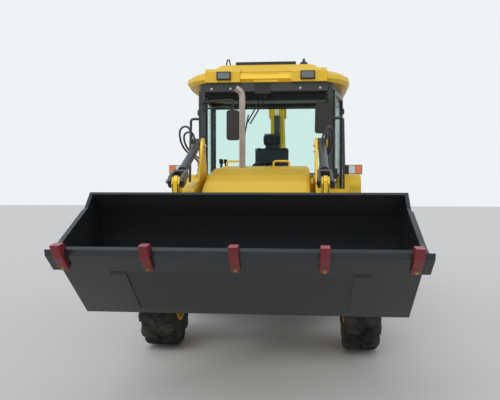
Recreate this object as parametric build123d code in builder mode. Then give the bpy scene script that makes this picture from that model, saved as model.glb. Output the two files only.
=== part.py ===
from build123d import *
import math
import os

# Backhoe loader, in millimetres, +Z up. The machine faces -Y and its left side is +X.
# Side views are drawn as (ahead, height): ahead is measured forwards from the front axle.

# Chassis
FRONT_AXLE_Y = -1280.0
WHEELBASE = 2200.0
RAIL_INNER = 300.0
RAIL_OUTER = 360.0
RAIL_BOTTOM = 620.0
RAIL_TOP = 820.0
RAIL_FRONT = 655.0
RAIL_REAR = -2950.0
REAR_RAIL_RISE = 220.0
SEAT = 0.3

# Wheels
FRONT_TYRE_R = 485.0
FRONT_TYRE_W = 330.0
FRONT_RIM_R = 232.0
FRONT_WHEEL_X = 930.0
FRONT_LUGS = 15
REAR_TYRE_R = 700.0
REAR_TYRE_W = 450.0
REAR_RIM_R = 330.0
REAR_WHEEL_X = 860.0
REAR_LUGS = 19
LUG_H = 30.0
LUG_W = 74.0
LUG_FOOT_W = 87.0
RIM_T = 9.0
FRONT_FLANGE_X = 788.0
REAR_FLANGE_X = 690.0
KINGPIN_X = 700.0
KINGPIN_R = 24.0
KNUCKLE_PLAY = 5.0
STEER_CYL = (100.0, 480.0)
STEER_CYL_R = 28.0
STEER_CYL_HALF = 260.0
STEER_ROD_R = 14.0
STEER_ROD_HALF = 420.0

# Loader arms and their pins
ARM_INNER = 500.0
ARM_OUTER = 620.0
ARM_CENTRE = (ARM_INNER + ARM_OUTER) / 2.0
ARM_WALL = 14.0
ARM_CORNER = 30.0
TOWER_T = 23.0
TOWER_GAP = 2.0
LIFT_PIVOT = (-420.0, 1530.0)
LIFT_BASE = (-620.0, 850.0)
LIFT_EYE = (100.0, 1370.0)
BUCKET_PIN = (1210.0, 830.0)
CRANK_PIN = (1040.0, 1080.0)
FORK_PIN = (1250.0, 1580.0)
LINK_PIN = (1300.0, 1080.0)
TILT_BASE = (330.0, 1915.0)
MAST_T = 22.0
PIN_R = 30.0
TOWER_PIN_R = 45.0
BUCKET_PIN_R = 40.0
CYLINDER_PIN_R = 25.0
CRANK_PIN_R = 32.0
CROSS_TUBE_R = 58.0
SWING_PIN_R = 45.0

# Cylinders: eyes, barrels and rods, with the shortest length from pin to pin
EYE_R = 52.0
BORE_START = 70.0
PISTON_T = 40.0
PISTON_SHARE = 0.62
GLAND_T = 3.0
ROD_PLAY = 10.0
LIFT_BARREL_R = 40.0
LIFT_ROD_R = 22.0
LIFT_EYE_HALF = 43.0
LIFT_SHORTEST = 742.0
TILT_BARREL_R = 36.0
TILT_ROD_R = 20.0
TILT_SHORTEST = 948.0
TILT_BASE_HALF = 37.0
FORK_REACH = 190.0
FORK_BRIDGE = 40.0
FORK_T = 22.0
BOOM_SHORTEST = 700.0
DIPPER_SHORTEST = 648.0
BUCKET_SHORTEST = 880.0

# Loader bucket
BUCKET_HALF = 1100.0
BUCKET_WALL = 22.0
SIDE_WALL = 25.0
LIP = (2290.0, 1178.0)
HEEL = (1690.0, 676.0)
BACK_MID = (1392.0, 1010.0)
BACK_TOP = (1480.0, 1350.0)
TOP_EDGE = (1620.0, 1505.0)
SIDE_TOP = (1730.0, 1400.0)
SIDE_FRONT = (2150.0, 1220.0)
LIP_HALF = 1140.0
LIP_T = 26.0
LIP_DEPTH = 190.0
DOUBLER_T = 12.0
TOOTH_W = 55.0
TOOTH_PITCH = 522.0
TEETH = 5

# Nose, hood and stack
HOOD_HALF = 458.0
HOOD_T = 6.0
HOOD_SIDE_H = 1000.0
HOOD_TOP = ((-600, 1738), (110, 1697), (450, 1632), (610, 1578), (790, 1490))
HOOD_CROWN = 40.0
NOSE_HALF = 446.0
NOSE_BACK = 655.0
NOSE_FRONT = 790.0
NOSE_BOTTOM = 740.0
NOSE_TOP = 1400.0
GRILLE_ROWS = 7
GRILLE_PITCH = 62.0
GRILLE_HALF = 330.0
STACK = (-195.0, -100.0)
STACK_R = 30.0
STACK_WALL = 4.0
STACK_BEND_H = 2436.0
ENGINE_TOP = 1240.0
HANDLE_A = -470.0
HANDLE_XS = (-312.0, 172.0)
HANDLE_HALF = 80.0
HANDLE_R = 10.0

# Cab
CAB_FRONT = -690.0
CAB_DOOR_REAR = -1500.0
CAB_REAR = -2280.0
CAB_FRONT_HALF = 705.0
CAB_REAR_HALF = 850.0
FLOOR_H = 1040.0
FLOOR_TOP = 1112.0
FRONT_WALL_TOP = 1250.0
SHELF_H = 1660.0
HEADER_H = 2560.0
HEADER_T = 60.0
ROOF_BASE = HEADER_H + HEADER_T
POST_T = 50.0
GLASS_T = 8.0
GLASS_SET = 22.0
VISOR_DEPTH = 65.0
DOOR_START = 60.0
DOOR_LENGTH = 740.0
DOOR_T = 38.0
DOOR_BORDER = 45.0
DOOR_BOTTOM = 1118.0
HINGE_PIN_R = 8.0
HINGE_HEIGHTS = (1760.0, 2380.0)
RAIL_R = 14.0
MIRROR_TUBE_R = 11.0

# Fenders and what stands on them
FENDER_FRONT = -1506.0
FENDER_REAR = -2932.0
FENDER_T = 24.0
FENDER_ROUND = 150.0
FENDER_INNER = 852.0
FENDER_OUTER = 1085.0
WELL_INNER = 602.0
WELL_REAR = -2330.0

# Tie-down lugs under the rails
TIE_HOLE = (-1430.0, 572.0)
TIE_HOLE_R = 25.0
TIE_T = 20.0
TIE_X = 320.0

# Backhoe
KING_A = -3500.0
HOE_FOOT = (-3720.0, 950.0)
HOE_FOOT_R = 35.0
BOOM_LENGTH = 1900.0
BOOM_ANGLE = 83.0
DIPPER_LENGTH = 1500.0
DIPPER_ANGLE = 226.0
DIPPER_PIN_R = 33.0
HOE_HALF = 100.0
HOE_LUG_T = 28.0
HOE_CORNER = 20.0
ROCKER_ALONG = 240.0
ROCKER_R = 360.0
ROCKER_ANGLE = 161.0
EAR_R = 200.0
EAR_ANGLE = 196.0
HOE_BUCKET_ANGLE = 258.0
STABILIZER_X = 1000.0
LEG_HALF = 77.7


def at(ahead):
    """World Y of a place that lies ahead of the front axle."""
    return FRONT_AXLE_Y - ahead


def polar(start, length, angle):
    """The (ahead, height) point at a length and an angle from another one."""
    turn = math.radians(angle)
    return (start[0] + length * math.cos(turn), start[1] + length * math.sin(turn))


def beside(start, angle, along, left):
    """The point so far along a direction and so far to its left."""
    return polar(polar(start, along, angle), left, angle + 90.0)


def heading(start, end):
    """The angle of the line from one side-view point to another."""
    return math.degrees(math.atan2(end[1] - start[1], end[0] - start[0]))


def plate(points, x_from, x_to, mode=Mode.ADD, corner=0.0):
    """A side-view outline, with rounded corners if asked, extruded across the machine."""
    with BuildSketch(Plane.YZ.offset(x_from)) as profile:
        with BuildLine():
            Polyline(*[(at(a), h) for a, h in points], close=True)
        make_face()
        if corner > 0.0:
            fillet(profile.vertices(), radius=corner)
    extrude(profile.sketch, amount=x_to - x_from, mode=mode)


def sides(x_from, x_to, side):
    """The two X values of a piece on one side, the smaller first."""
    return sorted((side * x_from, side * x_to))


def pin(centre, radius, x_from, x_to, mode=Mode.ADD):
    """A round pin, boss or hole along X."""
    with BuildSketch(Plane.YZ.offset(x_from)) as profile:
        with Locations((at(centre[0]), centre[1])):
            Circle(radius)
    extrude(profile.sketch, amount=x_to - x_from, mode=mode)


def bar(start, end, radius, x, mode=Mode.ADD):
    """A round bar between two side-view points, at one distance from the middle."""
    direction = (0.0, start[0] - end[0], end[1] - start[1])
    span = math.hypot(direction[1], direction[2])
    with BuildSketch(Plane(origin=(x, at(start[0]), start[1]), z_dir=direction)) as profile:
        Circle(radius)
    extrude(profile.sketch, amount=span, mode=mode)


def box(x_from, x_to, a_from, a_to, h_from, h_to, mode=Mode.ADD):
    """A block between two X, two ahead and two height values."""
    with BuildSketch(Plane.XY.offset(h_from)) as profile:
        with Locations(((x_from + x_to) / 2.0, at((a_from + a_to) / 2.0))):
            Rectangle(abs(x_to - x_from), abs(a_to - a_from))
    extrude(profile.sketch, amount=h_to - h_from, mode=mode)


def upright(x, ahead, radius, h_from, h_to, mode=Mode.ADD):
    """A round pin, boss or hole that stands upright."""
    with BuildSketch(Plane.XY.offset(h_from)) as profile:
        with Locations((x, at(ahead))):
            Circle(radius)
    extrude(profile.sketch, amount=h_to - h_from, mode=mode)


def tube(points, radius, bend, mode=Mode.ADD):
    """A round tube through (x, ahead, height) points, with round bends."""
    with BuildLine() as route:
        FilletPolyline(*[(x, at(a), h) for x, a, h in points], radius=bend)
    with BuildSketch(Plane(origin=route.line @ 0, z_dir=route.line % 0)) as section:
        Circle(radius)
    sweep(section.sketch, path=route.line, mode=mode)


BOOM_END = polar(HOE_FOOT, BOOM_LENGTH, BOOM_ANGLE)
DIPPER_END = polar(BOOM_END, DIPPER_LENGTH, DIPPER_ANGLE)
ROCKER_PIN = polar(DIPPER_END, ROCKER_ALONG, DIPPER_ANGLE - 180.0)
ROCKER_END = polar(ROCKER_PIN, ROCKER_R, ROCKER_ANGLE)
EAR_PIN = polar(DIPPER_END, EAR_R, EAR_ANGLE)
BOOM_CYL_BASE = (-3850.0, 700.0)
BOOM_CYL_EYE = beside(HOE_FOOT, BOOM_ANGLE, 850.0, 200.0)
DIPPER_CYL_BASE = beside(HOE_FOOT, BOOM_ANGLE, 1060.0, -215.0)
DIPPER_CYL_EYE = polar(BOOM_END, 255.0, 56.0)
BUCKET_CYL_BASE = beside(BOOM_END, DIPPER_ANGLE, 150.0, -200.0)


# Main frame: two rails that rise over the rear axle with cross members, and on each side a loader tower
# of two plates with a spacer, the lift cylinder's pin and a lamp bracket, each seated on the next
TOWER = ((-760, RAIL_BOTTOM), (-570, RAIL_BOTTOM), (-500, 720), (-440, 800), (-300, 920), (-330, 1560),
         (-370, 1610), (-470, 1610), (-520, 1560), (-560, 980), (-690, 940), (-720, 850))
TOWER_PLATES = ((ARM_INNER - TOWER_GAP - TOWER_T, ARM_INNER - TOWER_GAP),
                (ARM_OUTER + TOWER_GAP, ARM_OUTER + TOWER_GAP + TOWER_T))
TOWER_OUT = TOWER_PLATES[1][1]
TOWER_FOOT = (-740.0, -580.0, 640.0, 760.0)
PIN_END = 10.0
LAMP_BRACKET = (-475.0, -463.0)
LAMP_POST_X = (820.0, 860.0)
LAMP_POST_LOW = 1440.0
LAMP_POST_TOP = 1650.0
LAMP_ARM_H = 60.0
with BuildPart() as main_frame:
    plate([(RAIL_FRONT, RAIL_BOTTOM), (RAIL_FRONT, RAIL_TOP), (-1500, RAIL_TOP),
           (-1750, RAIL_TOP + REAR_RAIL_RISE), (RAIL_REAR, RAIL_TOP + REAR_RAIL_RISE),
           (RAIL_REAR, RAIL_BOTTOM + REAR_RAIL_RISE), (-1800, RAIL_BOTTOM + REAR_RAIL_RISE),
           (-1560, RAIL_BOTTOM)], RAIL_INNER, RAIL_OUTER)
    box(RAIL_OUTER, TOWER_PLATES[0][0] - SEAT, *TOWER_FOOT)
    box(TOWER_PLATES[0][1] + SEAT, TOWER_PLATES[1][0] - SEAT, *TOWER_FOOT)
    for low, high in TOWER_PLATES:
        plate(TOWER, low, high)
    pin_ends = (TOWER_PLATES[0][0] - PIN_END, TOWER_OUT + PIN_END)
    pin(LIFT_PIVOT, TOWER_PIN_R + SEAT, *pin_ends, mode=Mode.SUBTRACT)
    pin(LIFT_BASE, CYLINDER_PIN_R + SEAT, *pin_ends, mode=Mode.SUBTRACT)
    pin(LIFT_BASE, CYLINDER_PIN_R, *pin_ends)
    box(TOWER_OUT + SEAT, LAMP_POST_X[1], *LAMP_BRACKET, LAMP_POST_LOW, LAMP_POST_LOW + LAMP_ARM_H)
    box(*LAMP_POST_X, *LAMP_BRACKET, LAMP_POST_LOW, LAMP_POST_TOP)
    mirror(about=Plane.YZ)
    box(-RAIL_INNER, RAIL_INNER, 560, 640, RAIL_BOTTOM, RAIL_TOP)
    box(-RAIL_INNER, RAIL_INNER, -80, 80, RAIL_BOTTOM, 700)
    box(-RAIL_INNER, RAIL_INNER, RAIL_REAR, RAIL_REAR + 100, 840, 1040)
main_frame.part.label = "main_frame"

with BuildPart() as tie_down_lugs:
    for side in (1, -1):
        low, high = sides(TIE_X, TIE_X + TIE_T, side)
        ahead, height = TIE_HOLE
        plate([(ahead - 90, RAIL_BOTTOM - SEAT), (ahead + 90, RAIL_BOTTOM - SEAT), (ahead + 50, height - 50),
               (ahead - 50, height - 50)], low, high)
        pin(TIE_HOLE, TIE_HOLE_R, low, high, mode=Mode.SUBTRACT)
tie_down_lugs.part.label = "tie_down_lugs"

KNUCKLE_LOW = FRONT_TYRE_R - 95.0
KNUCKLE_HIGH = FRONT_TYRE_R + 95.0
LUG_END = KINGPIN_X + 30.0
AXLE_TOP = RAIL_BOTTOM - SEAT
with BuildPart() as front_axle:
    with BuildSketch(Plane.XZ.offset(-at(65))):
        with BuildLine():
            Polyline((-120, AXLE_TOP), (120, AXLE_TOP), (170, 555), (590, 545), (590, 415), (200, 405),
                     (-200, 405), (-590, 415), (-590, 545), (-170, 555), close=True)
        make_face()
    extrude(amount=-130)
    for side in (1, -1):
        box(*sides(590, 620, side), -60, 60, KNUCKLE_LOW - 40, KNUCKLE_HIGH + 40)
        box(*sides(620, LUG_END, side), -50, 50, KNUCKLE_LOW - 40, KNUCKLE_LOW - KNUCKLE_PLAY)
        box(*sides(620, LUG_END, side), -50, 50, KNUCKLE_HIGH + KNUCKLE_PLAY, KNUCKLE_HIGH + 40)
        upright(side * KINGPIN_X, 0, KINGPIN_R, KNUCKLE_LOW - KNUCKLE_PLAY, KNUCKLE_HIGH + KNUCKLE_PLAY)
        box(*sides(150, 190, side), 60, 105, 455, 505)
    pin(STEER_CYL, STEER_CYL_R, -STEER_CYL_HALF, STEER_CYL_HALF)
    pin(STEER_CYL, STEER_ROD_R, -STEER_ROD_HALF, STEER_ROD_HALF)
front_axle.part.label = "front_axle"


def build_knuckle(side):
    """The steered end of the axle: kingpin barrel, spindle and hub flange."""
    upright(side * KINGPIN_X, 0, 50, KNUCKLE_LOW, KNUCKLE_HIGH)
    hub = FRONT_FLANGE_X
    pin((0, FRONT_TYRE_R), 46, *sides(KINGPIN_X, hub, side))
    pin((0, FRONT_TYRE_R), 100, *sides(hub - 18, hub, side))
    upright(side * KINGPIN_X, 0, KINGPIN_R + SEAT, KNUCKLE_LOW, KNUCKLE_HIGH, mode=Mode.SUBTRACT)


with BuildPart() as knuckle_left:
    build_knuckle(1)
knuckle_left.part.label = "knuckle_left"

with BuildPart() as knuckle_right:
    build_knuckle(-1)
knuckle_right.part.label = "knuckle_right"

with BuildPart() as rear_axle:
    pin((-WHEELBASE, REAR_TYRE_R), 95, -625, 625)
    pin((-WHEELBASE, REAR_TYRE_R), 190, -150, 150)
    for side in (1, -1):
        box(*sides(RAIL_INNER, RAIL_OUTER, side), -WHEELBASE - 100, -WHEELBASE + 100, 740,
            RAIL_BOTTOM + REAR_RAIL_RISE - SEAT)
        pin((-WHEELBASE, REAR_TYRE_R), 120, *sides(600, REAR_FLANGE_X, side))
        pin((-WHEELBASE, REAR_TYRE_R), 170, *sides(REAR_FLANGE_X - 25, REAR_FLANGE_X, side))
rear_axle.part.label = "rear_axle"


def wheel_plane(centre, x):
    """A plane through a wheel's axle, x across the machine and y down, for turned outlines."""
    return Plane(origin=(x, at(centre[0]), centre[1]), x_dir=(1, 0, 0), z_dir=(0, 1, 0))


def turned(centre, x, points):
    """A body turned about a wheel's axle from (across, radius) points."""
    with BuildSketch(wheel_plane(centre, x)) as section:
        with BuildLine():
            Polyline(*[(across, -radius) for across, radius in points], close=True)
        make_face()
    revolve(section.sketch, axis=Axis((x, at(centre[0]), centre[1]), (1, 0, 0)))


def build_rim(centre, rim_r, width, x, hub_x):
    """A barrel with two bead flanges, and a dished disc with its hub."""
    side = 1 if x > 0 else -1
    half = width * 0.42
    bore = rim_r - RIM_T
    turned(centre, x, [(-half - 10, bore), (-half - 10, rim_r + 18), (-half, rim_r + 18), (-half, rim_r),
                       (half, rim_r), (half, rim_r + 18), (half + 10, rim_r + 18), (half + 10, bore)])
    turned(centre, hub_x, [(side * u, r) for u, r in
                           ((0, 0), (0, 0.56 * rim_r), (48, 0.86 * rim_r), (48, bore + 2), (66, bore + 2),
                            (66, 0.84 * rim_r), (20, 0.50 * rim_r), (20, 0.42 * rim_r),
                            (105, 0.40 * rim_r), (120, 0.33 * rim_r), (120, 0))])


def tread_half(centre, x, across, carcass, tyre_r, lugs, turn):
    """One row of straight lugs round the tread, from the middle to one shoulder."""
    step = 2.0 * math.pi / lugs
    outline = []
    for number in range(lugs):
        for radius, offset in ((carcass, -LUG_FOOT_W / 2.0), (tyre_r, -LUG_W / 2.0), (tyre_r, LUG_W / 2.0),
                               (carcass, LUG_FOOT_W / 2.0)):
            angle = number * step + turn + offset / tyre_r
            outline.append((at(centre[0]) + radius * math.cos(angle), centre[1] + radius * math.sin(angle)))
    with BuildSketch(Plane.YZ.offset(x)) as ring:
        with BuildLine():
            Polyline(*outline, close=True)
        make_face()
    extrude(ring.sketch, amount=across)


def build_tyre(centre, tyre_r, rim_r, width, x, lugs):
    """A turned carcass with two staggered rows of lugs."""
    half = width / 2.0
    carcass = tyre_r - LUG_H
    inner = rim_r + SEAT
    middle = (inner + carcass) / 2.0
    for row in (1, -1):
        turn = (math.pi / lugs if row > 0 else 0.0) - math.pi / 2.0
        tread_half(centre, x, row * half * 0.96, carcass, tyre_r, lugs, turn)
    pin(centre, carcass - 60, x - half, x + half, mode=Mode.SUBTRACT)
    turned(centre, x, [(-half * 0.82, inner), (half * 0.82, inner), (half * 0.82, inner + 21), (half, middle),
                       (half * 0.97, carcass - 30), (-half * 0.97, carcass - 30), (-half, middle),
                       (-half * 0.82, inner + 21)])


# Name, place ahead, tyre and rim radius, tyre width, wheel centre, hub face and lugs in a row
WHEELS = (("front_left", 0.0, FRONT_TYRE_R, FRONT_RIM_R, FRONT_TYRE_W, FRONT_WHEEL_X,
           FRONT_FLANGE_X + SEAT, FRONT_LUGS),
          ("front_right", 0.0, FRONT_TYRE_R, FRONT_RIM_R, FRONT_TYRE_W, -FRONT_WHEEL_X,
           -FRONT_FLANGE_X - SEAT, FRONT_LUGS),
          ("rear_left", -WHEELBASE, REAR_TYRE_R, REAR_RIM_R, REAR_TYRE_W, REAR_WHEEL_X,
           REAR_FLANGE_X + SEAT, REAR_LUGS),
          ("rear_right", -WHEELBASE, REAR_TYRE_R, REAR_RIM_R, REAR_TYRE_W, -REAR_WHEEL_X,
           -REAR_FLANGE_X - SEAT, REAR_LUGS))
wheel_parts = []
for name, ahead, tyre_r, rim_r, width, x, hub_x, lugs in WHEELS:
    with BuildPart() as rim:
        build_rim((ahead, tyre_r), rim_r, width, x, hub_x)
    rim.part.label = "rim_" + name
    wheel_parts.append(rim)
    with BuildPart() as tyre:
        build_tyre((ahead, tyre_r), tyre_r, rim_r, width, x, lugs)
    tyre.part.label = "tyre_" + name
    wheel_parts.append(tyre)

# Power train under the hood and cab: one plain block with its gearbox and shaft
with BuildPart() as powertrain:
    box(-RAIL_INNER, RAIL_INNER, -480, 540, 700, ENGINE_TOP)
    box(-RAIL_INNER, RAIL_INNER, -900, -480, 640, 1000)
    bar((-900, 700), (-WHEELBASE + 190, 700), 45, 0)
powertrain.part.label = "powertrain"

# Nose with its grille frame, and the hood shell that hinges at its rear
with BuildPart() as nose:
    box(-NOSE_HALF, NOSE_HALF, NOSE_BACK, NOSE_FRONT, NOSE_BOTTOM, NOSE_TOP)
    front_edges = [e for e in nose.edges() if e.center().Y < at(NOSE_FRONT - 1) and abs(e.center().X) > 440]
    fillet(front_edges, radius=25)
    for row in range(GRILLE_ROWS):
        low = NOSE_BOTTOM + 60 + row * GRILLE_PITCH
        box(-GRILLE_HALF, GRILLE_HALF, NOSE_FRONT - 10, NOSE_FRONT, low, low + GRILLE_PITCH * 0.48,
            mode=Mode.SUBTRACT)
    box(-RAIL_OUTER, RAIL_OUTER, NOSE_BACK, 700, 700, NOSE_BOTTOM)
nose.part.label = "nose"

with BuildPart() as hood:
    plate([(HOOD_TOP[0][0], HOOD_SIDE_H), *HOOD_TOP, (NOSE_FRONT, NOSE_TOP + SEAT),
           (NOSE_BACK - 5, NOSE_TOP + SEAT), (NOSE_BACK - 5, HOOD_SIDE_H)], -HOOD_HALF, HOOD_HALF)
    crowns = [e for e in hood.edges() if abs(abs(e.center().X) - HOOD_HALF) < 0.01
              and e.center().Z > 1500 and abs(e.length) > 100]
    fillet(crowns, radius=HOOD_CROWN)
    open_faces = [f for f in hood.faces() if f.center().Z < HOOD_SIDE_H + 1
                  or abs(f.normal_at().Y) > 0.99 and f.center().Z < NOSE_TOP
                  or f.center().Y > at(HOOD_TOP[0][0] + 1) or abs(f.center().Z - NOSE_TOP - SEAT) < 1]
    offset(amount=-HOOD_T, openings=open_faces)
    upright(*STACK, STACK_R + SEAT, 1500, 1800, mode=Mode.SUBTRACT)
    for x in HANDLE_XS:
        tube([(x - HANDLE_HALF, HANDLE_A, 1724), (x - HANDLE_HALF, HANDLE_A, 1786),
              (x + HANDLE_HALF, HANDLE_A, 1786), (x + HANDLE_HALF, HANDLE_A, 1724)], HANDLE_R, 25)
hood.part.label = "hood"

with BuildPart() as exhaust_stack:
    stack_tip = [(STACK[0], STACK[1], STACK_BEND_H), (STACK[0] - 63, STACK[1] + 16, STACK_BEND_H + 46)]
    tube([(STACK[0], STACK[1], ENGINE_TOP + SEAT), *stack_tip], STACK_R, 70)
    tube([(STACK[0], STACK[1], 2000), *stack_tip], STACK_R - STACK_WALL, 70, mode=Mode.SUBTRACT)
exhaust_stack.part.label = "exhaust_stack"

# Loader arms: one bent pair with a slot at the lower end, and a mast plate seated on each arm that holds
# the tilt cylinder's pin
ARM_PATH = ((-420, 1640), (700, 1545), (880, 1500), (960, 1420), (1290, 870), (1280, 770), (1200, 745),
            (1120, 790), (930, 1060), (800, 1300), (700, 1340), (-420, 1425), (-500, 1455), (-530, 1530),
            (-500, 1610))
ARM_TOP_SLOPE = (ARM_PATH[1][1] - ARM_PATH[0][1]) / (ARM_PATH[1][0] - ARM_PATH[0][0])
MAST_FOOT = [(a, ARM_PATH[0][1] + (a - ARM_PATH[0][0]) * ARM_TOP_SLOPE + SEAT) for a in (137.0, 607.0)]
MAST = (*MAST_FOOT, (390, 1938), (350, 1968), (300, 1968), (270, 1928))
MAST_CORNER = 20.0
TILT_PIN_END = ARM_CENTRE + TILT_BASE_HALF + 15.0
TILT_PIN_HEAD_T = 12.0
TILT_PIN_HEAD_R = 38.0
ARM_WALLS = ((ARM_INNER, ARM_INNER + ARM_WALL), (ARM_OUTER - ARM_WALL, ARM_OUTER))
with BuildPart() as loader_arms:
    plate(ARM_PATH, ARM_INNER, ARM_OUTER, corner=ARM_CORNER)
    plate([(930, 955), (930, 1700), (1500, 1700), (1500, 955)],
          ARM_INNER + ARM_WALL, ARM_OUTER - ARM_WALL, mode=Mode.SUBTRACT)
    for low, high in ARM_WALLS:
        pin(CRANK_PIN, 70, low, high)
        plate([(0, 1450), (220, 1440), (150, 1320), (100, 1310), (50, 1320)], low, high)
    plate([(-20, 1250), (-20, 1480), (240, 1480), (240, 1250)],
          ARM_INNER + ARM_WALL, ARM_OUTER - ARM_WALL, mode=Mode.SUBTRACT)
    plate(MAST, ARM_INNER, ARM_INNER + MAST_T, corner=MAST_CORNER)
    pin(CRANK_PIN, CRANK_PIN_R, ARM_INNER - 6, ARM_OUTER + 6)
    pin(TILT_BASE, CYLINDER_PIN_R + SEAT, ARM_INNER - 6, TILT_PIN_END, mode=Mode.SUBTRACT)
    pin(TILT_BASE, CYLINDER_PIN_R, ARM_INNER - 6, TILT_PIN_END)
    pin(TILT_BASE, TILT_PIN_HEAD_R, TILT_PIN_END - TILT_PIN_HEAD_T, TILT_PIN_END)
    pin(LIFT_PIVOT, TOWER_PIN_R, 470, 650)
    pin(BUCKET_PIN, BUCKET_PIN_R, 465, 655)
    mirror(about=Plane.YZ)
    pin(CRANK_PIN, CROSS_TUBE_R, -ARM_INNER, ARM_INNER)
loader_arms.part.label = "loader_arms"

# Two hydraulic hoses loop from each tilt cylinder over the mast and down to the arm
HOSE_R = 9.0
HOSE_TOP = 1908.0
HOSE_FOOT = 1603.8
# Start across, furthest swing across and top of each loop, with the outer hose outside all the way
HOSE_LOOPS = ((-585.0, -740.0, 2070.0), (-560.0, -700.0, 2020.0), (585.0, 660.0, 2060.0), (560.0, 635.0, 2010.0))
with BuildPart() as tilt_hoses:
    for x, swing_x, top in HOSE_LOOPS:
        foot = x - math.copysign(15.0, x)
        tube([(x, 470, HOSE_TOP), (x, 470, top), (swing_x, 320, top), (swing_x, 150, 1880), (foot, 20, 1760),
              (foot, 20, HOSE_FOOT)], HOSE_R, 45)
tilt_hoses.part.label = "tilt_hoses"

# Loader bucket: a bent wall between two side plates, with the cutting edge and the rear ears
FLOOR_ANGLE = heading(HEEL, LIP)
with BuildPart() as loader_bucket:
    with BuildSketch(Plane.YZ.offset(-BUCKET_HALF + SIDE_WALL)):
        with BuildLine():
            Line((at(LIP[0]), LIP[1]), (at(HEEL[0]), HEEL[1]))
            ThreePointArc((at(HEEL[0]), HEEL[1]), (at(BACK_MID[0]), BACK_MID[1]),
                          (at(BACK_TOP[0]), BACK_TOP[1]))
            Line((at(BACK_TOP[0]), BACK_TOP[1]), (at(TOP_EDGE[0]), TOP_EDGE[1]))
            offset(amount=BUCKET_WALL, side=Side.LEFT)
        make_face()
    extrude(amount=2 * (BUCKET_HALF - SIDE_WALL))
    for low in (-BUCKET_HALF, BUCKET_HALF - SIDE_WALL):
        with BuildSketch(Plane.YZ.offset(low)):
            with BuildLine():
                Line((at(LIP[0]), LIP[1]), (at(HEEL[0]), HEEL[1]))
                ThreePointArc((at(HEEL[0]), HEEL[1]), (at(BACK_MID[0]), BACK_MID[1]),
                              (at(BACK_TOP[0]), BACK_TOP[1]))
                Polyline((at(BACK_TOP[0]), BACK_TOP[1]), (at(TOP_EDGE[0]), TOP_EDGE[1]),
                         (at(SIDE_TOP[0]), SIDE_TOP[1]), (at(SIDE_FRONT[0]), SIDE_FRONT[1]), (at(LIP[0]), LIP[1]))
            make_face()
        extrude(amount=SIDE_WALL)
    plate([LIP, polar(LIP, LIP_DEPTH, FLOOR_ANGLE + 180), beside(LIP, FLOOR_ANGLE, -LIP_DEPTH, -LIP_T),
           beside(LIP, FLOOR_ANGLE, -30, -LIP_T)], -LIP_HALF, LIP_HALF)
    for side in (1, -1):
        plate([(1745, 1385), (2145, 1213), (2262, 1172), (2240, 1145), (2130, 1140), (1760, 1290)],
              *sides(BUCKET_HALF, BUCKET_HALF + DOUBLER_T, side))
        plate([beside(HEEL, FLOOR_ANGLE, 60, 0), beside(HEEL, FLOOR_ANGLE, 540, 0),
               beside(HEEL, FLOOR_ANGLE, 525, -DOUBLER_T), beside(HEEL, FLOOR_ANGLE, 75, -DOUBLER_T)],
              *sides(700, 800, side))
        for low, high in ((468, 494), (626, 652)):
            plate([(1210, 750), (1140, 790), (1140, 860), (1235, 1130), (1290, 1155), (1400, 1150),
                   (1420, 900), (1500, 760)], *sides(low, high, side))
        pin(BUCKET_PIN, BUCKET_PIN_R + SEAT, *sides(465, 655, side), mode=Mode.SUBTRACT)
loader_bucket.part.label = "loader_bucket"

with BuildPart() as bucket_teeth:
    for number in range(TEETH):
        middle = (number - (TEETH - 1) / 2.0) * TOOTH_PITCH
        outline = [beside(LIP, FLOOR_ANGLE, u, v) for u, v in
                   ((90, -34), (30, 28), (-150, 46), (-150, BUCKET_WALL + SEAT), (SEAT, BUCKET_WALL + SEAT),
                    (SEAT, 0), (SEAT - 30, -LIP_T - SEAT), (-150, -LIP_T - SEAT), (-150, -54), (0, -60))]
        plate(outline, middle - TOOTH_W / 2.0, middle + TOOTH_W / 2.0)
bucket_teeth.part.label = "bucket_teeth"

# Tilt linkage: bell crank of two levers, link in between, black fork of the cylinder outside
CRANK_ANGLE = heading(CRANK_PIN, FORK_PIN)
with BuildPart() as bell_cranks:
    for low in (530.0, 578.0):
        plate([beside(CRANK_PIN, CRANK_ANGLE, -70, 60), beside(CRANK_PIN, CRANK_ANGLE, 60, 75),
               beside(FORK_PIN, CRANK_ANGLE, 0, 45), beside(FORK_PIN, CRANK_ANGLE, 45, 0),
               beside(FORK_PIN, CRANK_ANGLE, 0, -45), beside(CRANK_PIN, CRANK_ANGLE, 60, -75),
               beside(CRANK_PIN, CRANK_ANGLE, -70, -60)], low, low + 14, corner=18)
    pin(CRANK_PIN, 60, 523, 597)
    pin(CRANK_PIN, CRANK_PIN_R + SEAT, 523, 597, mode=Mode.SUBTRACT)
    pin(FORK_PIN, PIN_R, 530, 592)
    mirror(about=Plane.YZ)
bell_cranks.part.label = "bell_cranks"

LINK_DIR = heading(FORK_PIN, LINK_PIN)
with BuildPart() as bucket_links:
    plate([beside(FORK_PIN, LINK_DIR, -42, 20), beside(FORK_PIN, LINK_DIR, 0, 42),
           beside(LINK_PIN, LINK_DIR, 0, 42), beside(LINK_PIN, LINK_DIR, 42, 20),
           beside(LINK_PIN, LINK_DIR, 42, -20), beside(LINK_PIN, LINK_DIR, 0, -42),
           beside(FORK_PIN, LINK_DIR, 0, -42), beside(FORK_PIN, LINK_DIR, -42, -20)], 547, 575)
    pin(FORK_PIN, PIN_R + SEAT, 547, 575, mode=Mode.SUBTRACT)
    pin(LINK_PIN, 45, 500, 620)
    mirror(about=Plane.YZ)
bucket_links.part.label = "bucket_links"


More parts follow.
